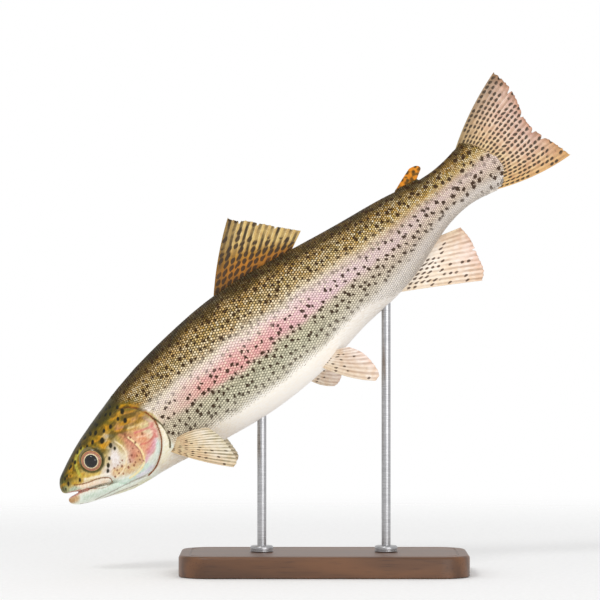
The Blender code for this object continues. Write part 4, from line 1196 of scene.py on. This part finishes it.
# How each fin is coloured: the membrane from base to margin, its rays, dark streaks between the rays, tints
# from the first ray to the last, and dark marks. The marks lie in rows row_step apart. mark_size is their
# half width and half length as shares of the gap between two rays and of a row. marks_along and marks_across
# say how many there are from base to margin and from first ray to last.
FIN_LOOKS = {
    "dorsal_fin": {
        "membrane": ((0.03, "#674612"), (0.2, "#9c6212"), (0.35, "#b0701c"), (0.5, "#a87a2c"),
                     (0.7, "#cbaa68"), (1.0, "#c8a868")),
        "rays": ((0.0, "#8c5c18"), (0.35, "#bf802e"), (0.6, "#dcc084"), (1.0, "#ecdcb0")),
        "streak": ("#33240a", ((0.32, 0.0), (0.52, 0.95), (1.0, 1.0))),
        "tints": (("#6e4e18", ((0.0, 0.75), (0.22, 0.0))),),
        "mark": "#33200a", "row_step": 0.0050, "mark_size": (0.42, 0.43),
        "marks_along": ((0.0, 0.95), (0.5, 0.92), (0.66, 0.5), (0.8, 0.3), (0.97, 0.1)),
        "marks_across": ((0.0, 1.0), (1.0, 0.95))},
    "tail_fin": {
        "membrane": ((0.05, "#ac9158"), (0.3, "#d2b084"), (0.6, "#d6b298"), (0.9, "#cca998"),
                     (1.0, "#b07c60")),
        "rays": ((0.0, "#c8b482"), (0.4, "#e0ceb2"), (0.8, "#e6d4c8"), (1.0, "#cca08c")),
        "streak": ("#8a6c4a", ((0.0, 0.65), (0.5, 0.5), (1.0, 0.45))),
        "tints": (("#6e5c34", ((0.0, 0.7), (0.10, 0.3), (0.22, 0.0))),
                  ("#cfa05a", ((0.68, 0.0), (1.0, 0.8)))),
        "mark": "#33230f", "row_step": 0.0036, "mark_size": (0.34, 0.40),
        "marks_along": ((0.0, 0.95), (0.75, 0.9), (0.97, 0.55)), "marks_across": ((0.0, 0.95), (1.0, 0.95))},
    "anal_fin": {
        "membrane": ((0.1, "#f5eadc"), (0.5, "#f0decb"), (0.85, "#efd9cb"), (1.0, "#e4c2b0")),
        "rays": ((0.0, "#eadccc"), (0.5, "#e8d4c0"), (1.0, "#ead0c4")),
        "streak": ("#a8876c", ((0.1, 0.2), (0.5, 0.55), (1.0, 0.7))),
        "tints": (("#e2c9a4", ((0.0, 0.5), (0.4, 0.0))), ("#c8a884", ((0.6, 0.0), (1.0, 0.75)))),
        "mark": "#4a3220", "row_step": 0.0040, "mark_size": (0.34, 0.30),
        "marks_along": ((0.0, 0.2), (0.12, 0.95), (0.3, 0.8), (0.45, 0.4), (0.6, 0.15), (0.9, 0.06)),
        "marks_across": ((0.0, 1.0), (0.42, 0.95), (0.6, 0.3), (1.0, 0.1))},
    "pelvic_fin": {
        "membrane": ((0.1, "#e0d0bc"), (0.5, "#e2ccb8"), (0.85, "#f5e6da"), (1.0, "#f0d6c8")),
        "rays": ((0.0, "#d8c8b0"), (0.5, "#dcc8b0"), (1.0, "#ead0c2")),
        "streak": ("#b08c74", ((0.1, 0.3), (0.5, 0.6), (1.0, 0.55))),
        "tints": (("#dcc8a8", ((0.0, 0.5), (0.5, 0.0))),),
        "mark": "#55402e", "row_step": 0.0042, "mark_size": (0.30, 0.28),
        "marks_along": ((0.0, 0.4), (0.2, 0.7), (0.4, 0.55), (0.6, 0.15), (1.0, 0.0)),
        "marks_across": ((0.0, 0.75), (0.6, 0.5), (1.0, 0.2))},
    "pectoral_fin": {
        "membrane": ((0.05, "#c8ac84"), (0.4, "#e6cda6"), (0.75, "#eee0ca"), (1.0, "#e2d6bc")),
        "rays": ((0.0, "#bca47c"), (0.35, "#dcc6a0"), (0.75, "#e9dec8"), (1.0, "#d0c8a8")),
        "streak": ("#857a58", ((0.1, 0.25), (0.4, 0.6), (0.8, 0.9), (1.0, 0.7))),
        "tints": (("#d0ac80", ((0.0, 0.6), (0.35, 0.0), (0.9, 0.0), (1.0, 0.5))),),
        "mark": "#4a3420", "row_step": 0.0046, "mark_size": (0.34, 0.26),
        "marks_along": ((0.05, 0.9), (0.35, 0.75), (0.55, 0.35), (0.75, 0.1), (1.0, 0.0)),
        "marks_across": ((0.0, 0.95), (0.3, 0.8), (0.5, 0.35), (1.0, 0.15))},
}


def fin_material(name, rays, look, on_rays):
    """Thin horny membrane, or the bony rays that carry it: semi-matt, pale, with dark dashes."""
    kind = "rays" if on_rays else "membrane"
    made, tree = new_material(f"{name}_{kind}")
    field = add(tree, FIELD, attribute_name="fin").outputs["Vector"]
    ray, along, reach = add(tree, SPLIT, [field]).outputs
    across = add(tree, DIVIDE, [ray, float(rays)])
    ground = add(tree, RAMP, [along], look[kind])
    for tint, tint_across in look["tints"]:
        ground = add(tree, MIX, [add(tree, RAMP, [across], tint_across), ground, linear(tint)])
    place = add(tree, COORDINATES).outputs["Object"]
    mottle = add(tree, NOISE, {"Vector": place, "Scale": 260.0, "Detail": 4.0})
    ground = add(tree, OVERLAY, [0.6, ground, mottle])

    streak, streak_along = look["streak"]
    off_middle = add(tree, ABSOLUTE, [add(tree, SUBTRACT, [add(tree, FRACT, [ray]), 0.5])])
    between = add(tree, SMOOTH_RANGE, [off_middle, 0.12, 0.36, 1.0, 0.0])
    stretched = add(tree, JOIN, [ray, add(tree, MULTIPLY, [reach, 110.0])])
    broken = add(tree, RAMP, [add(tree, NOISE, {"Vector": stretched, "Scale": 1.0, "Detail": 2.0})],
                 ((0.35, 0.35), (0.6, 1.0)))
    streaked = add(tree, MULTIPLY, [between, add(tree, RAMP, [along], streak_along)])
    ground = add(tree, MIX, [add(tree, MULTIPLY, [streaked, broken]), ground, linear(streak)])

    wander = add(tree, NOISE, {"Vector": field, "Scale": 1.1, "Detail": 2.0})
    column = add(tree, ADD, [ray, add(tree, MULTIPLY_ADD, [wander, 0.4, -0.2])])
    row = add(tree, DIVIDE, [reach, look["row_step"]])
    row = add(tree, ADD, [row, add(tree, MULTIPLY_ADD, [wander, 1.4, -0.7])])
    cell = add(tree, JOIN, [add(tree, FLOOR, [column]), add(tree, FLOOR, [row]), 5.0])
    chance = add(tree, "ShaderNodeTexWhiteNoise", [cell], noise_dimensions="3D")
    off = []
    for axis, share in zip((column, row), look["mark_size"], strict=True):
        centred = add(tree, SUBTRACT, [add(tree, FRACT, [axis]), 0.5])
        off.append(add(tree, POWER, [add(tree, DIVIDE, [centred, share]), 2.0]))
    likely = add(tree, MULTIPLY, [add(tree, RAMP, [along], look["marks_along"]),
                                  add(tree, RAMP, [across], look["marks_across"])])
    present = add(tree, SMOOTH_RANGE, [add(tree, SUBTRACT, [likely, chance]), -0.03, 0.05, 0.0, 1.0])
    mark = add(tree, SMOOTH_RANGE, [add(tree, ADD, off), 0.55, 1.3, 0.45 if on_rays else 0.92, 0.0])
    colour = add(tree, MIX, [add(tree, MULTIPLY, [mark, present]), ground, linear(look["mark"])])
    grain = add(tree, WAVE, {"Vector": field, "Scale": 3.2, "Distortion": 0.5}, bands_direction="X")
    ribbed = add(tree, BUMP, {"Height": grain.outputs["Fac"], "Strength": 0.25, "Distance": 0.00008})
    add(tree, OUTPUT, {"Surface": add(tree, SURFACE, {
        "Base Color": colour, "Normal": ribbed, "Roughness": 0.45, "Specular IOR Level": 0.3})})
    return made


def rays_tree():
    """Geometry nodes that sweep a round section along every line, as thick as the line says."""
    tree, given = new_group("sweep_rays", "GeometryNodeTree",
                            {"Geometry": "Geometry", "Sides": "Int", "Material": "Material"}, "Geometry")
    section = add(tree, "GeometryNodeCurvePrimitiveCircle", {"Resolution": given["Sides"], "Radius": 0.5})
    swept = add(tree, "GeometryNodeCurveToMesh", {
        "Curve": add(tree, "GeometryNodeMeshToCurve", [given["Geometry"]]), "Profile Curve": section,
        "Scale": add(tree, STORED_NUMBER, {"Name": "thickness"}), "Fill Caps": True})
    dressed = add(tree, DRESS, {"Geometry": add(tree, REALIZE, [swept]), "Material": given["Material"]})
    add(tree, "NodeGroupOutput", {"Geometry": dressed})
    return tree


def make_membrane(name, fin, settings, material):
    def half(across, along):
        on_ray = np.abs(np.cos(math.pi * fin.rays * across))
        return (settings.membrane / MM) * (1.1 - 0.6 * along) / 2 * (0.55 + 0.45 * on_ray)

    points, faces, across, along = plate(fin, 8 * fin.rays + 1, 34, half)
    across, along = np.tile(across, 2), np.tile(along, 2)
    pleat = settings.pleat / MM * np.sin(2 * math.pi * fin.rays * across) * step_between(0.05, 0.5, along)
    points += fin.normal(across, along) * pleat[:, None]
    mesh = mesh_from(name, points, faces)
    set_attribute(mesh, "fin", "FLOAT_VECTOR", fin.fields(across, along))
    face_out(mesh)
    mesh.transform(pose())
    mesh.shade_smooth()
    finished(shown(name + "_membrane", mesh), [name], material)


def make_rays(name, fin, tree, settings, material):
    points, fields, radii, edges, start = [], [], [], [], 0
    for across, along, thickness in fin.lines():
        points.append(fin.point(across, along))
        fields.append(fin.fields(across, along))
        radii.append(thickness * MM)
        edges += [(start + k, start + k + 1) for k in range(len(across) - 1)]
        start += len(across)
    mesh = mesh_from(name, np.concatenate(points), [], edges)
    set_attribute(mesh, "fin", "FLOAT_VECTOR", np.concatenate(fields))
    set_attribute(mesh, "thickness", "FLOAT", np.concatenate(radii))
    mesh.transform(pose())
    name += "_rays"
    swept = run_tree(name, shown(name, mesh), tree, Sides=settings.sides, Material=material)
    swept.shade_smooth()
    finished(shown(name, swept))


class TroutFinSettings(bpy.types.PropertyGroup):
    membrane: FloatProperty(name="Membrane", description="Thickness of the membrane at the base",
                            default=0.00055, **LENGTH)
    pleat: FloatProperty(name="Pleat", description="How far the membrane sinks between two rays",
                         default=0.00014, **LENGTH)
    sides: IntProperty(name="Sides", description="Corners of a ray's round section", default=6, min=3, max=16)


class TROUT_OT_fins(bpy.types.Operator):
    """Pleated membranes and forked rays of the dorsal, tail, anal, pectoral and pelvic fins"""

    bl_idname = "trout.make_fins"
    bl_label = "Make Fins"

    def execute(self, context):
        settings, tree, finishes = context.scene.trout_fins, rays_tree(), {}
        for name, fin in FINS.items():
            if name == "adipose_fin":
                continue
            kind = name.removesuffix("_left").removesuffix("_right")
            if kind not in finishes:
                finishes[kind] = [fin_material(kind, fin.rays, FIN_LOOKS[kind], on_rays)
                                  for on_rays in (False, True)]
            make_membrane(name, fin, settings, finishes[kind][0])
            make_rays(name, fin, tree, settings, finishes[kind][1])
        return {"FINISHED"}


# -------------------- eyes

class TroutEyeSettings(bpy.types.PropertyGroup):
    pupil: FloatProperty(name="Pupil", description="The pupil's radius", default=0.0041, **LENGTH)
    bulge: FloatProperty(name="Lens bulge", description="How far the lens stands out of the iris",
                         default=0.0009, **LENGTH)


EYE_COLOURS = ((0.42, "#050403"), (0.435, "#7a6848"), (0.45, "#e9dfc0"), (0.49, "#d9c08c"),
               (0.515, "#8f5238"), (0.57, "#b07a62"), (0.63, "#94543c"), (0.66, "#c79a58"),
               (0.69, "#8a6a34"), (0.71, "#241d0e"), (0.735, "#3a3216"), (0.78, "#7a6a30"),
               (0.90, "#62561f"))


def eye_material():
    """A wet eye under a clear cornea: black lens, silver ring, copper iris and a gold outer ring."""
    made, tree = new_material("wet_trout_eye")
    field = add(tree, FIELD, attribute_name="eye").outputs["Vector"]
    streaks = add(tree, NOISE, {"Vector": field, "Scale": 1.6, "Detail": 5.0})
    wander = add(tree, MULTIPLY_ADD, [streaks, 0.6, -0.3])
    radius = add(tree, ADD, [add(tree, SPLIT, [field]).outputs["X"], wander])
    iris = add(tree, RAMP, [add(tree, DIVIDE, [radius, 10.0])], EYE_COLOURS)
    colour = add(tree, OVERLAY, [0.5, iris, streaks])
    add(tree, OUTPUT, {"Surface": add(tree, SURFACE, {
        "Base Color": colour, "Roughness": 0.35, "Specular IOR Level": 0.1, "Coat Weight": 0.9,
        "Coat Roughness": 0.05})})
    return made


def make_eye(side, word, settings, material):
    shape = bmesh.new()
    bmesh.ops.create_uvsphere(shape, u_segments=72, v_segments=48, radius=1)
    low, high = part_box(f"eye_{word}")
    place = pose().inverted() @ ((low + high) / 2)
    round_side = Matrix.Rotation(math.pi / 2, 4, "X")
    bmesh.ops.transform(shape, matrix=Matrix.Diagonal((*EYE_SIZE, 1)) @ round_side, verts=shape.verts)
    fields, pupil = [], settings.pupil / MM
    for vert in shape.verts:
        radius = math.hypot(vert.co.x, vert.co.z)
        outside = vert.co.y * side > 0
        if outside:
            lens = math.sqrt(max(0.0, 1 - (radius / pupil) ** 2)) * settings.bulge / MM
            iris = 0.2 * float(step_between(pupil, pupil + 0.5, radius) * fall_between(6.2, EYE_RIM, radius))
            vert.co.y += side * (lens - iris)
        fields.append((radius if outside else 9.0, math.atan2(vert.co.z, vert.co.x) * 3, 0.0))
    bmesh.ops.transform(shape, matrix=Matrix.Translation(place) @ Matrix.Rotation(side * EYE_TURN, 4, "Z"),
                        verts=shape.verts)
    mesh = bpy.data.meshes.new(f"trout_eye_{word}")
    shape.to_mesh(mesh)
    shape.free()
    set_attribute(mesh, "eye", "FLOAT_VECTOR", np.array(fields))
    mesh.transform(pose())
    mesh.shade_smooth()
    finished(shown(f"trout_eye_{word}", mesh), [f"eye_{word}"], material)


class TROUT_OT_eyes(bpy.types.Operator):
    """Both eyes, with a lens that bulges from the iris"""

    bl_idname = "trout.make_eyes"
    bl_label = "Make Eyes"

    def execute(self, context):
        material = eye_material()
        for side, word in ((LEFT, "left"), (RIGHT, "right")):
            make_eye(side, word, context.scene.trout_eyes, material)
        return {"FINISHED"}


# -------------------- stand

class TroutStandSettings(bpy.types.PropertyGroup):
    corner: FloatProperty(name="Corner radius", description="Radius of the base's corners", default=0.020,
                          **LENGTH)
    edge: FloatProperty(name="Edge radius", description="Rounding of the base's top edge", default=0.002,
                        **LENGTH)
    groove: FloatProperty(name="Groove", description="Depth of the line cut round the base's top",
                          default=0.0005, **LENGTH)
    wood_dark: FloatVectorProperty(name="Dark grain", description="The walnut's dark grain",
                                   default=linear("#3d2412"), **COLOUR)
    wood_light: FloatVectorProperty(name="Light grain", description="The walnut's light grain",
                                    default=linear("#7a4e2b"), **COLOUR)


def walnut_material(settings):
    """Oiled walnut: long brown grain with fine dark pores and a satin sheen."""
    made, tree = new_material("oiled_walnut")
    place = add(tree, COORDINATES).outputs["Object"]
    stretched = add(tree, MAPPING, {"Vector": place, "Scale": (5.0, 34.0, 34.0)})
    bent = add(tree, NOISE, {"Vector": stretched, "Scale": 1.0, "Detail": 4.0})
    growth = add(tree, WAVE, {"Vector": stretched, "Scale": 0.9, "Distortion": 11.0, "Detail": 4.0},
                 bands_direction="Y")
    fine = add(tree, MAPPING, {"Vector": place, "Scale": (60.0, 1500.0, 1500.0)})
    pores = add(tree, NOISE, {"Vector": fine, "Scale": 1.0, "Detail": 2.0})
    share = add(tree, MULTIPLY_ADD, [growth.outputs["Fac"], 0.38, add(tree, MULTIPLY, [bent, 0.62])])
    wood = add(tree, MIX, [share, settings.wood_dark, settings.wood_light])
    pored = add(tree, MIX, [add(tree, RANGE, [pores, 0.58, 0.72, 0.0, 0.55]), wood, linear("#24140a")])
    sunk = add(tree, BUMP, {"Height": pores, "Strength": 0.2, "Distance": 0.00008})
    add(tree, OUTPUT, {"Surface": add(tree, SURFACE, {
        "Base Color": pored, "Normal": sunk, "Roughness": 0.42, "Coat Weight": 0.15, "Coat Roughness": 0.3})})
    return made


def steel_material():
    """Stainless steel turned on a lathe and brushed round: grey, with fine rings across the rod."""
    made, tree = new_material("brushed_stainless_steel")
    place = add(tree, COORDINATES).outputs["Object"]
    ringed = add(tree, MAPPING, {"Vector": place, "Scale": (150.0, 150.0, 5000.0)})
    brushing = add(tree, NOISE, {"Vector": ringed, "Scale": 1.0, "Detail": 3.0})
    tone = add(tree, RAMP, [brushing], ((0.3, "#9a9a9c"), (0.7, "#c6c6c8")))
    grooved = add(tree, BUMP, {"Height": brushing, "Strength": 0.12, "Distance": 0.00002})
    add(tree, OUTPUT, {"Surface": add(tree, SURFACE, {
        "Base Color": tone, "Normal": grooved, "Metallic": 1.0,
        "Roughness": add(tree, RANGE, [brushing, 0.0, 1.0, 0.22, 0.42])})})
    return made


FOOT_BEVEL = 0.0006
GROOVE_PLACES = (0.0068, 0.0072, 0.0079, 0.0083)  # how far in from the base's side the cut line's corners are
RUNNING_FIT = 0.00005  # the collar's gap round its rod


def rounded_rectangle(length, width, corner, inset, z, per_corner=12):
    points, radius = [], corner - inset
    for sx, sy, start in ((1, 1, 0), (-1, 1, 90), (-1, -1, 180), (1, -1, 270)):
        x, y = sx * (length / 2 - corner), sy * (width / 2 - corner)
        for turn in np.radians(np.linspace(start, start + 90, per_corner + 1)):
            points.append((x + radius * math.cos(turn), y + radius * math.sin(turn), z))
    return points


def crisp(mesh):
    """Smooth shading, but not over edges sharper than a rounding has."""
    mesh.shade_smooth()
    mesh.set_sharp_from_angle(angle=math.radians(35))


def make_base(settings, material):
    """The base as a stack of outlines: a foot bevel, a rounded top edge and a cut line round the top."""
    low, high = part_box("stand_base")
    length, width, top, edge = high.x - low.x, high.y - low.y, high.z, settings.edge
    sunk = top - settings.groove
    levels = [(FOOT_BEVEL, 0.0), (0.0, FOOT_BEVEL)]
    levels += [(edge * (1 - math.cos(a)), top - edge * (1 - math.sin(a)))
               for a in np.linspace(0, math.pi / 2, 7)]
    levels += zip(GROOVE_PLACES, (top, sunk, sunk, top), strict=True)
    rings = [rounded_rectangle(length, width, settings.corner, inset, z) for inset, z in levels]
    count, last = len(rings[0]), (len(rings) - 1) * len(rings[0])
    faces = [tuple(reversed(range(count)))]
    for first in range(0, last, count):
        for k in range(count):
            a, b = first + k, first + (k + 1) % count
            faces.append((a, b, b + count, a + count))
    faces.append(tuple(range(last, last + count)))
    mesh = mesh_from("stand_base_wood", [p for ring in rings for p in ring], faces)
    face_out(mesh)
    crisp(mesh)
    finished(shown("stand_base_wood", mesh), ["stand_base"], material)


def make_turned(node, profile, x, material, steps=64):
    """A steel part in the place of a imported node: a profile turned round an upright axis at x."""
    points, faces = [], []
    for turn in np.arange(steps) * 2 * math.pi / steps:
        points += [(x + r * math.cos(turn), r * math.sin(turn), z) for r, z in profile]
    count = len(profile)
    for k in range(steps):
        here, following = k * count, (k + 1) % steps * count
        for j in range(count):
            after = (j + 1) % count
            faces.append((here + j, following + j, following + after, here + after))
    mesh = mesh_from(f"{node}_steel", points, faces)
    face_out(mesh, merge=1e-7)
    crisp(mesh)
    finished(shown(f"{node}_steel", mesh), [node], material)


def rod_profile(low, high, radius, chamfer=0.0004):
    """A rod's half section from its foot to its top, as (radius, height)."""
    return [(0, low), (radius - chamfer, low), (radius, low + chamfer), (radius, high - chamfer),
            (radius - chamfer, high), (0, high)]


def collar_profile(low, high, radius, inner, shoulder=0.0012, cut=0.00025, chamfer=0.0002):
    """A collar's section, with a cut line round its side and a rounded shoulder."""
    side = [(radius - chamfer, low), (radius, low + chamfer), (radius, low + 0.0010),
            (radius - cut, low + 0.0012), (radius - cut, low + 0.0015), (radius, low + 0.0017)]
    side += [(radius - shoulder * (1 - math.cos(a)), high - shoulder * (1 - math.sin(a)))
             for a in np.linspace(0, math.pi / 2, 6)]
    return [(inner, low), *side, (inner, high)]


class TROUT_OT_stand(bpy.types.Operator):
    """The walnut base, the two steel rods and their collars"""

    bl_idname = "trout.make_stand"
    bl_label = "Make Stand"

    def execute(self, context):
        settings = context.scene.trout_stand
        make_base(settings, walnut_material(settings))
        steel = steel_material()
        for word in STAND_ENDS:
            low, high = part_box(f"stand_rod_{word}")
            radius, x = (high.x - low.x) / 2, (low.x + high.x) / 2
            make_turned(f"stand_rod_{word}", rod_profile(low.z, high.z, radius), x, steel)
            low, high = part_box(f"stand_collar_{word}")
            profile = collar_profile(low.z, high.z, (high.x - low.x) / 2, radius + RUNNING_FIT)
            make_turned(f"stand_collar_{word}", profile, (low.x + high.x) / 2, steel)
        return {"FINISHED"}


# -------------------- studio

class TroutStudioSettings(bpy.types.PropertyGroup):
    camera_distance: FloatProperty(name="Camera distance",
                                   description="How far the camera stands from the trout", default=2.2,
                                   **LENGTH)
    view_width: FloatProperty(name="View width", description="Width that the camera sees at the trout",
                              default=0.39604, **LENGTH)
    world_light: FloatProperty(name="World light", description="Strength of the even light all round",
                               default=0.82)
    key_power: FloatProperty(name="Key light", description="Power of the soft light above, in watts",
                             unit="POWER", default=11.0)
    fill_power: FloatProperty(name="Fill light", description="Power of the low front light, in watts",
                              unit="POWER", default=14.5)
    paper_radius: FloatProperty(name="Paper radius", description="Radius of the white paper under the stand",
                                default=1.0, **LENGTH)


def paper_material(radius):
    """White studio paper, matt with a faint fibre mottle, that thins out to nothing away from the stand."""
    made, tree = new_material("white_studio_paper")
    place = add(tree, COORDINATES).outputs["Object"]
    fibre = add(tree, NOISE, {"Vector": place, "Scale": 300.0, "Detail": 3.0})
    tone = add(tree, RAMP, [fibre], ((0.3, "#f6f6f6"), (0.7, "#fbfbfb")))
    away = add(tree, VECTOR, [place], operation="LENGTH")
    thinned = add(tree, SMOOTH_RANGE, [away, radius * 0.3, radius * 0.95, 1.0, 0.0])
    add(tree, OUTPUT, {"Surface": add(tree, SURFACE, {
        "Base Color": tone, "Roughness": 0.9, "Specular IOR Level": 0.1, "Alpha": thinned})})
    return made


def make_paper(radius):
    """A round sheet of paper under the stand."""
    shape = bmesh.new()
    bmesh.ops.create_circle(shape, cap_ends=True, segments=96, radius=radius,
                            matrix=Matrix.Translation((0, 0, -0.0003)))
    mesh = bpy.data.meshes.new("studio_paper")
    shape.to_mesh(mesh)
    shape.free()
    mesh.materials.append(paper_material(radius))
    shown("studio_paper", mesh)


def make_world(strength):
    """Even white light all round, in front of a white backdrop."""
    world = bpy.data.worlds.new("studio_world")
    world.use_nodes = True
    tree = world.node_tree
    tree.nodes.clear()
    seen = add(tree, "ShaderNodeLightPath").outputs["Is Camera Ray"]
    shine = add(tree, RANGE, [seen, 0.0, 1.0, strength, 1.0])
    glow = add(tree, "ShaderNodeBackground", {"Color": (1, 1, 1, 1), "Strength": shine})
    add(tree, "ShaderNodeOutputWorld", {"Surface": glow})
    return world


def area_light(name, place, target, size, power):
    light = bpy.data.lights.new(name, "AREA")
    light.shape, light.size, light.size_y, light.energy = "RECTANGLE", size[0], size[1], power
    lamp = shown(name, light)
    lamp.location = place
    lamp.rotation_euler = (Vector(target) - Vector(place)).to_track_quat("-Z", "Y").to_euler()


class TROUT_OT_studio(bpy.types.Operator):
    """White paper, soft lights and the camera"""

    bl_idname = "trout.make_studio"
    bl_label = "Make Studio"

    def execute(self, context):
        settings, scene = context.scene.trout_studio, context.scene
        make_paper(settings.paper_radius)
        low, high = (Vector(corner) for corner in PACKED_BOX)
        centre = Vector(((low.x + high.x) / 2, 0, (low.z + high.z) / 2))
        area_light("key_light", (-0.75, -1.5, 1.6), centre, (0.45, 0.45), settings.key_power)
        area_light("fill_light", (0.9, -1.7, -0.1), centre, (1.4, 1.4), settings.fill_power)
        scene.world = make_world(settings.world_light)
        scene.view_settings.view_transform = "Standard"
        eye = bpy.data.cameras.new("camera")
        eye.sensor_width = 36.0
        eye.lens = eye.sensor_width * settings.camera_distance / settings.view_width
        camera = shown("camera", eye)
        camera.location = (-0.0158, -settings.camera_distance, 0.1802)
        camera.rotation_euler = (math.pi / 2, 0, 0)
        scene.camera = camera
        return {"FINISHED"}


# -------------------- add-on

SETTINGS = {"trout_skin": TroutSkinSettings, "trout_scales": TroutScaleSettings,
            "trout_fins": TroutFinSettings, "trout_eyes": TroutEyeSettings,
            "trout_stand": TroutStandSettings, "trout_studio": TroutStudioSettings}
OPERATORS = (TROUT_OT_skin, TROUT_OT_scales, TROUT_OT_fins, TROUT_OT_eyes, TROUT_OT_stand, TROUT_OT_studio)


class TROUT_PT_panel(bpy.types.Panel):
    bl_label = "Rainbow Trout"
    bl_idname = "TROUT_PT_panel"
    bl_space_type = "VIEW_3D"
    bl_region_type = "UI"
    bl_category = "Trout"

    def draw(self, context):
        for operator, group in zip(OPERATORS, SETTINGS, strict=True):
            box = self.layout.box()
            box.operator(operator.bl_idname)
            settings = getattr(context.scene, group)
            for name in settings.bl_rna.properties.keys():
                if name not in ("rna_type", "name"):
                    box.prop(settings, name)


def register():
    for kind in (*SETTINGS.values(), *OPERATORS, TROUT_PT_panel):
        bpy.utils.register_class(kind)
    for name, kind in SETTINGS.items():
        setattr(bpy.types.Scene, name, PointerProperty(type=kind))


def unregister():
    for name in SETTINGS:
        delattr(bpy.types.Scene, name)
    for kind in reversed((*SETTINGS.values(), *OPERATORS, TROUT_PT_panel)):
        bpy.utils.unregister_class(kind)


def main():
    register()
    bpy.ops.trout.make_skin()
    bpy.ops.trout.make_scales()
    bpy.ops.trout.make_fins()
    bpy.ops.trout.make_eyes()
    bpy.ops.trout.make_stand()
    bpy.ops.trout.make_studio()


if __name__ == "__main__":
    main()
